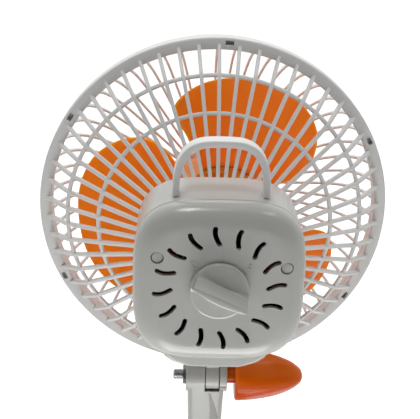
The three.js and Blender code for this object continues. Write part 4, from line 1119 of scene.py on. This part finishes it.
class CLIPFAN_OT_spring(bpy.types.Operator):
    """Torsion spring round the clip's pin"""
    bl_idname = "clipfan.spring"
    bl_label = "Clip spring"

    def execute(self, context):
        slope, coil_r = math.radians(30), 6
        r = sizes().wire / MM / 2
        start = math.radians(90) + slope
        total = TAU * COIL_TURNS + math.pi - 2 * slope
        at = lambda t: Vector((-LEG_X + 2 * LEG_X * t / total, PIN.y + coil_r * math.cos(start + t),
                               PIN.z + coil_r * math.sin(start + t)))
        steps = round(total / TAU * 28)
        curl = [at(total * i / steps) for i in range(steps + 1)]
        up = Vector((0, math.cos(slope), math.sin(slope)))
        down = Vector((0, up.y, -up.z))
        ceiling = CLIP_TOP - CLIP_WALL - GAP - 1.6
        up_long = (ceiling - curl[0].z) / up.z * 0.8
        down_long = (curl[-1].z - JAW_THICK + 2) / up.z
        line = [curl[0] + up * up_long * (1 - k / 8) for k in range(8)] + curl
        line += [curl[-1] + down * down_long * (k + 1) / 8 for k in range(8)]
        rings = []
        for i, point in enumerate(line):
            along = (line[min(i + 1, len(line) - 1)] - line[max(i - 1, 0)]).normalized()
            out = (Vector((1, 0, 0)) - along * along.x).normalized()
            side = along.cross(out)
            full = 0.75 if i in (0, len(line) - 1) else 1
            rings.append([point + (out * math.cos(TAU * k / 14) + side * math.sin(TAU * k / 14)) * r * full
                          for k in range(14)])
        make("clip_spring_form", loft(rings), "clip", steel(), ["clip_spring"], angle=60)
        return {"FINISHED"}


class CLIPFAN_OT_inner_parts(bpy.types.Operator):
    """Materials of the motor, the switch body and the fasteners that keep their CAD forms"""
    bl_idname = "clipfan.inner_parts"
    bl_label = "Inner parts"

    def execute(self, context):
        layers = banded("lamination_bands", (0.02, 0.02, 0.022), (0.09, 0.09, 0.095), 0.5, "Y", 0.85, 0.45)
        winding = banded("winding_bands", (0.16, 0.045, 0.012), (0.42, 0.14, 0.045), 0.35, "Z", 0.5, 0.4)
        finishes = {
            "stator_core": layers, "rotor": layers, "coil_left": winding, "coil_right": winding,
            "switch_body": black_plastic(),
        }
        for name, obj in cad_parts.items():
            if obj.hide_render:
                continue
            finish = finishes.get(name, steel())
            if not obj.data.materials:
                obj.data.materials.append(finish)
            for i in range(len(obj.material_slots)):
                obj.material_slots[i].material = finish
        return {"FINISHED"}


# ---------------------------------------------------------------- stage
class CLIPFAN_OT_stage(bpy.types.Operator):
    """Floor, sky, lamps and the camera at the photograph's viewing angle"""
    bl_idname = "clipfan.stage"
    bl_label = "Stage"

    def execute(self, context):
        scene = context.scene
        scene.view_settings.view_transform = "Standard"
        studio = scene.clip_fan_studio
        self.floor(studio)
        self.sky(studio)
        for name, place, aim, size, power in (
            ("lamp_top", (0.1, -0.75, 1.35), (0, -0.03, 0.15), 0.9, studio.key),
            ("lamp_edge", (-0.42, 0.30, 1.0), (0, 0.0, 0.2), 0.22, studio.key * 0.16),
            ("lamp_low", (0, 0.10, 0.012), (0, 0.10, 0.5), 0.16, studio.key * 0.06),
            ("lamp_over", (0.15, 0.32, 1.2), (0, 0.02, 0.18), 0.3, studio.key * 0.62),
        ):
            light = bpy.data.lights.new(name, "AREA")
            light.shape, light.size, light.energy = "DISK", size, power
            lamp = bpy.data.objects.new(name, light)
            scene.collection.objects.link(lamp)
            lamp.location = place
            lamp.visible_camera = False
            lamp.rotation_euler = (Vector(aim) - Vector(place)).to_track_quat("-Z", "Y").to_euler()
        self.camera(scene)
        return {"FINISHED"}

    def floor(self, studio):
        half = studio.distance
        corners = [(-half, -half, 0), (half, -half, 0), (half, half, 0), (-half, half, 0)]
        mesh = bpy.data.meshes.new("floor")
        mesh.from_pydata(corners, [], [(0, 1, 2, 3)])
        obj = bpy.data.objects.new("floor", mesh)
        bpy.context.scene.collection.objects.link(obj)
        material, tree, shader = blank("floor", Base_Color=colours().floor, Roughness=0.9,
                                       Specular_IOR_Level=0)
        glow = node(tree, "ShaderNodeEmission")
        path = node(tree, "ShaderNodeLightPath")
        share = node(tree, "ShaderNodeMath", {1: studio.floor_glow}, operation="MULTIPLY")
        both = node(tree, "ShaderNodeAddShader")
        wire(tree, (path, "Is Camera Ray", share, 0), (share, 0, glow, "Strength"), (shader, 0, both, 0),
             (glow, 0, both, 1), (both, 0, tree.nodes["Material Output"], "Surface"))
        mesh.materials.append(material)

    def sky(self, studio):
        world = bpy.data.worlds.new("studio")
        bpy.context.scene.world = world
        world.use_nodes = True
        tree = world.node_tree
        tree.nodes.clear()
        place = node(tree, "ShaderNodeTexCoord")
        parts = node(tree, "ShaderNodeSeparateXYZ")
        ends = {"From Min": -0.25, "From Max": 0.55, "To Min": 1.0, "To Max": studio.dim}
        side = node(tree, "ShaderNodeMapRange", ends, interpolation_type="SMOOTHSTEP")
        light = node(tree, "ShaderNodeBackground", {"Color": (1, 1, 1, 1)})
        strength = node(tree, "ShaderNodeMath", {1: studio.sky}, operation="MULTIPLY")
        seen = node(tree, "ShaderNodeBackground", {"Color": (1, 1, 1, 1)})
        path = node(tree, "ShaderNodeLightPath")
        mix = node(tree, "ShaderNodeMixShader")
        out = node(tree, "ShaderNodeOutputWorld")
        wire(tree, (place, "Generated", parts, "Vector"), (parts, "Y", side, "Value"),
             (side, "Result", strength, 0), (strength, 0, light, "Strength"),
             (path, "Is Camera Ray", mix, "Fac"), (light, 0, mix, 1), (seen, 0, mix, 2),
             (mix, 0, out, "Surface"))

    def camera(self, scene):
        data = bpy.data.cameras.new("camera")
        data.lens, data.sensor_width = 77.14, 36
        data.clip_start, data.clip_end = 0.01, 50
        obj = bpy.data.objects.new("camera", data)
        scene.collection.objects.link(obj)
        obj.matrix_world = Matrix((
            (-0.999180, 0.021730, 0.034161, 0.014608),
            (0.023978, -0.362271, 0.931764, 0.378690),
            (0.032623, 0.931819, 0.361453, 0.349839),
            (0, 0, 0, 1),
        ))
        scene.camera = obj


# ---------------------------------------------------------------- add-on
OPERATORS = (
    CLIPFAN_OT_stage, CLIPFAN_OT_rear_grille, CLIPFAN_OT_front_grille, CLIPFAN_OT_fan_blade,
    CLIPFAN_OT_front_housing, CLIPFAN_OT_rear_cover, CLIPFAN_OT_carry_handle, CLIPFAN_OT_switch_knob,
    CLIPFAN_OT_hinge, CLIPFAN_OT_neck, CLIPFAN_OT_clip, CLIPFAN_OT_spring, CLIPFAN_OT_inner_parts,
)
GROUPS = {
    "clip_fan_colours": ClipFanColours, "clip_fan_sizes": ClipFanSizes, "clip_fan_studio": ClipFanStudio,
}


class CLIPFAN_PT_panel(bpy.types.Panel):
    """Sizes, colours and the pieces of the clip fan"""
    bl_idname = "CLIPFAN_PT_panel"
    bl_label = "Clip Fan"
    bl_space_type = "VIEW_3D"
    bl_region_type = "UI"
    bl_category = "Clip Fan"

    def draw(self, context):
        for name, kind in GROUPS.items():
            box = self.layout.box()
            for key in kind.__annotations__:
                box.prop(getattr(context.scene, name), key)
        for operator in OPERATORS:
            self.layout.operator(operator.bl_idname)


def register():
    for kind in (*GROUPS.values(), *OPERATORS, CLIPFAN_PT_panel):
        bpy.utils.register_class(kind)
    for name, kind in GROUPS.items():
        setattr(bpy.types.Scene, name, bpy.props.PointerProperty(type=kind))


def unregister():
    for name in GROUPS:
        delattr(bpy.types.Scene, name)
    for kind in (CLIPFAN_PT_panel, *reversed(OPERATORS), *reversed(GROUPS.values())):
        bpy.utils.unregister_class(kind)


def main():
    register()
    for operator in OPERATORS:
        name = operator.bl_idname.split(".")[1]
        if getattr(bpy.ops.clipfan, name)() != {"FINISHED"}:
            raise RuntimeError(f"{operator.bl_label} wasn't finished")


if __name__ == "__main__":
    main()
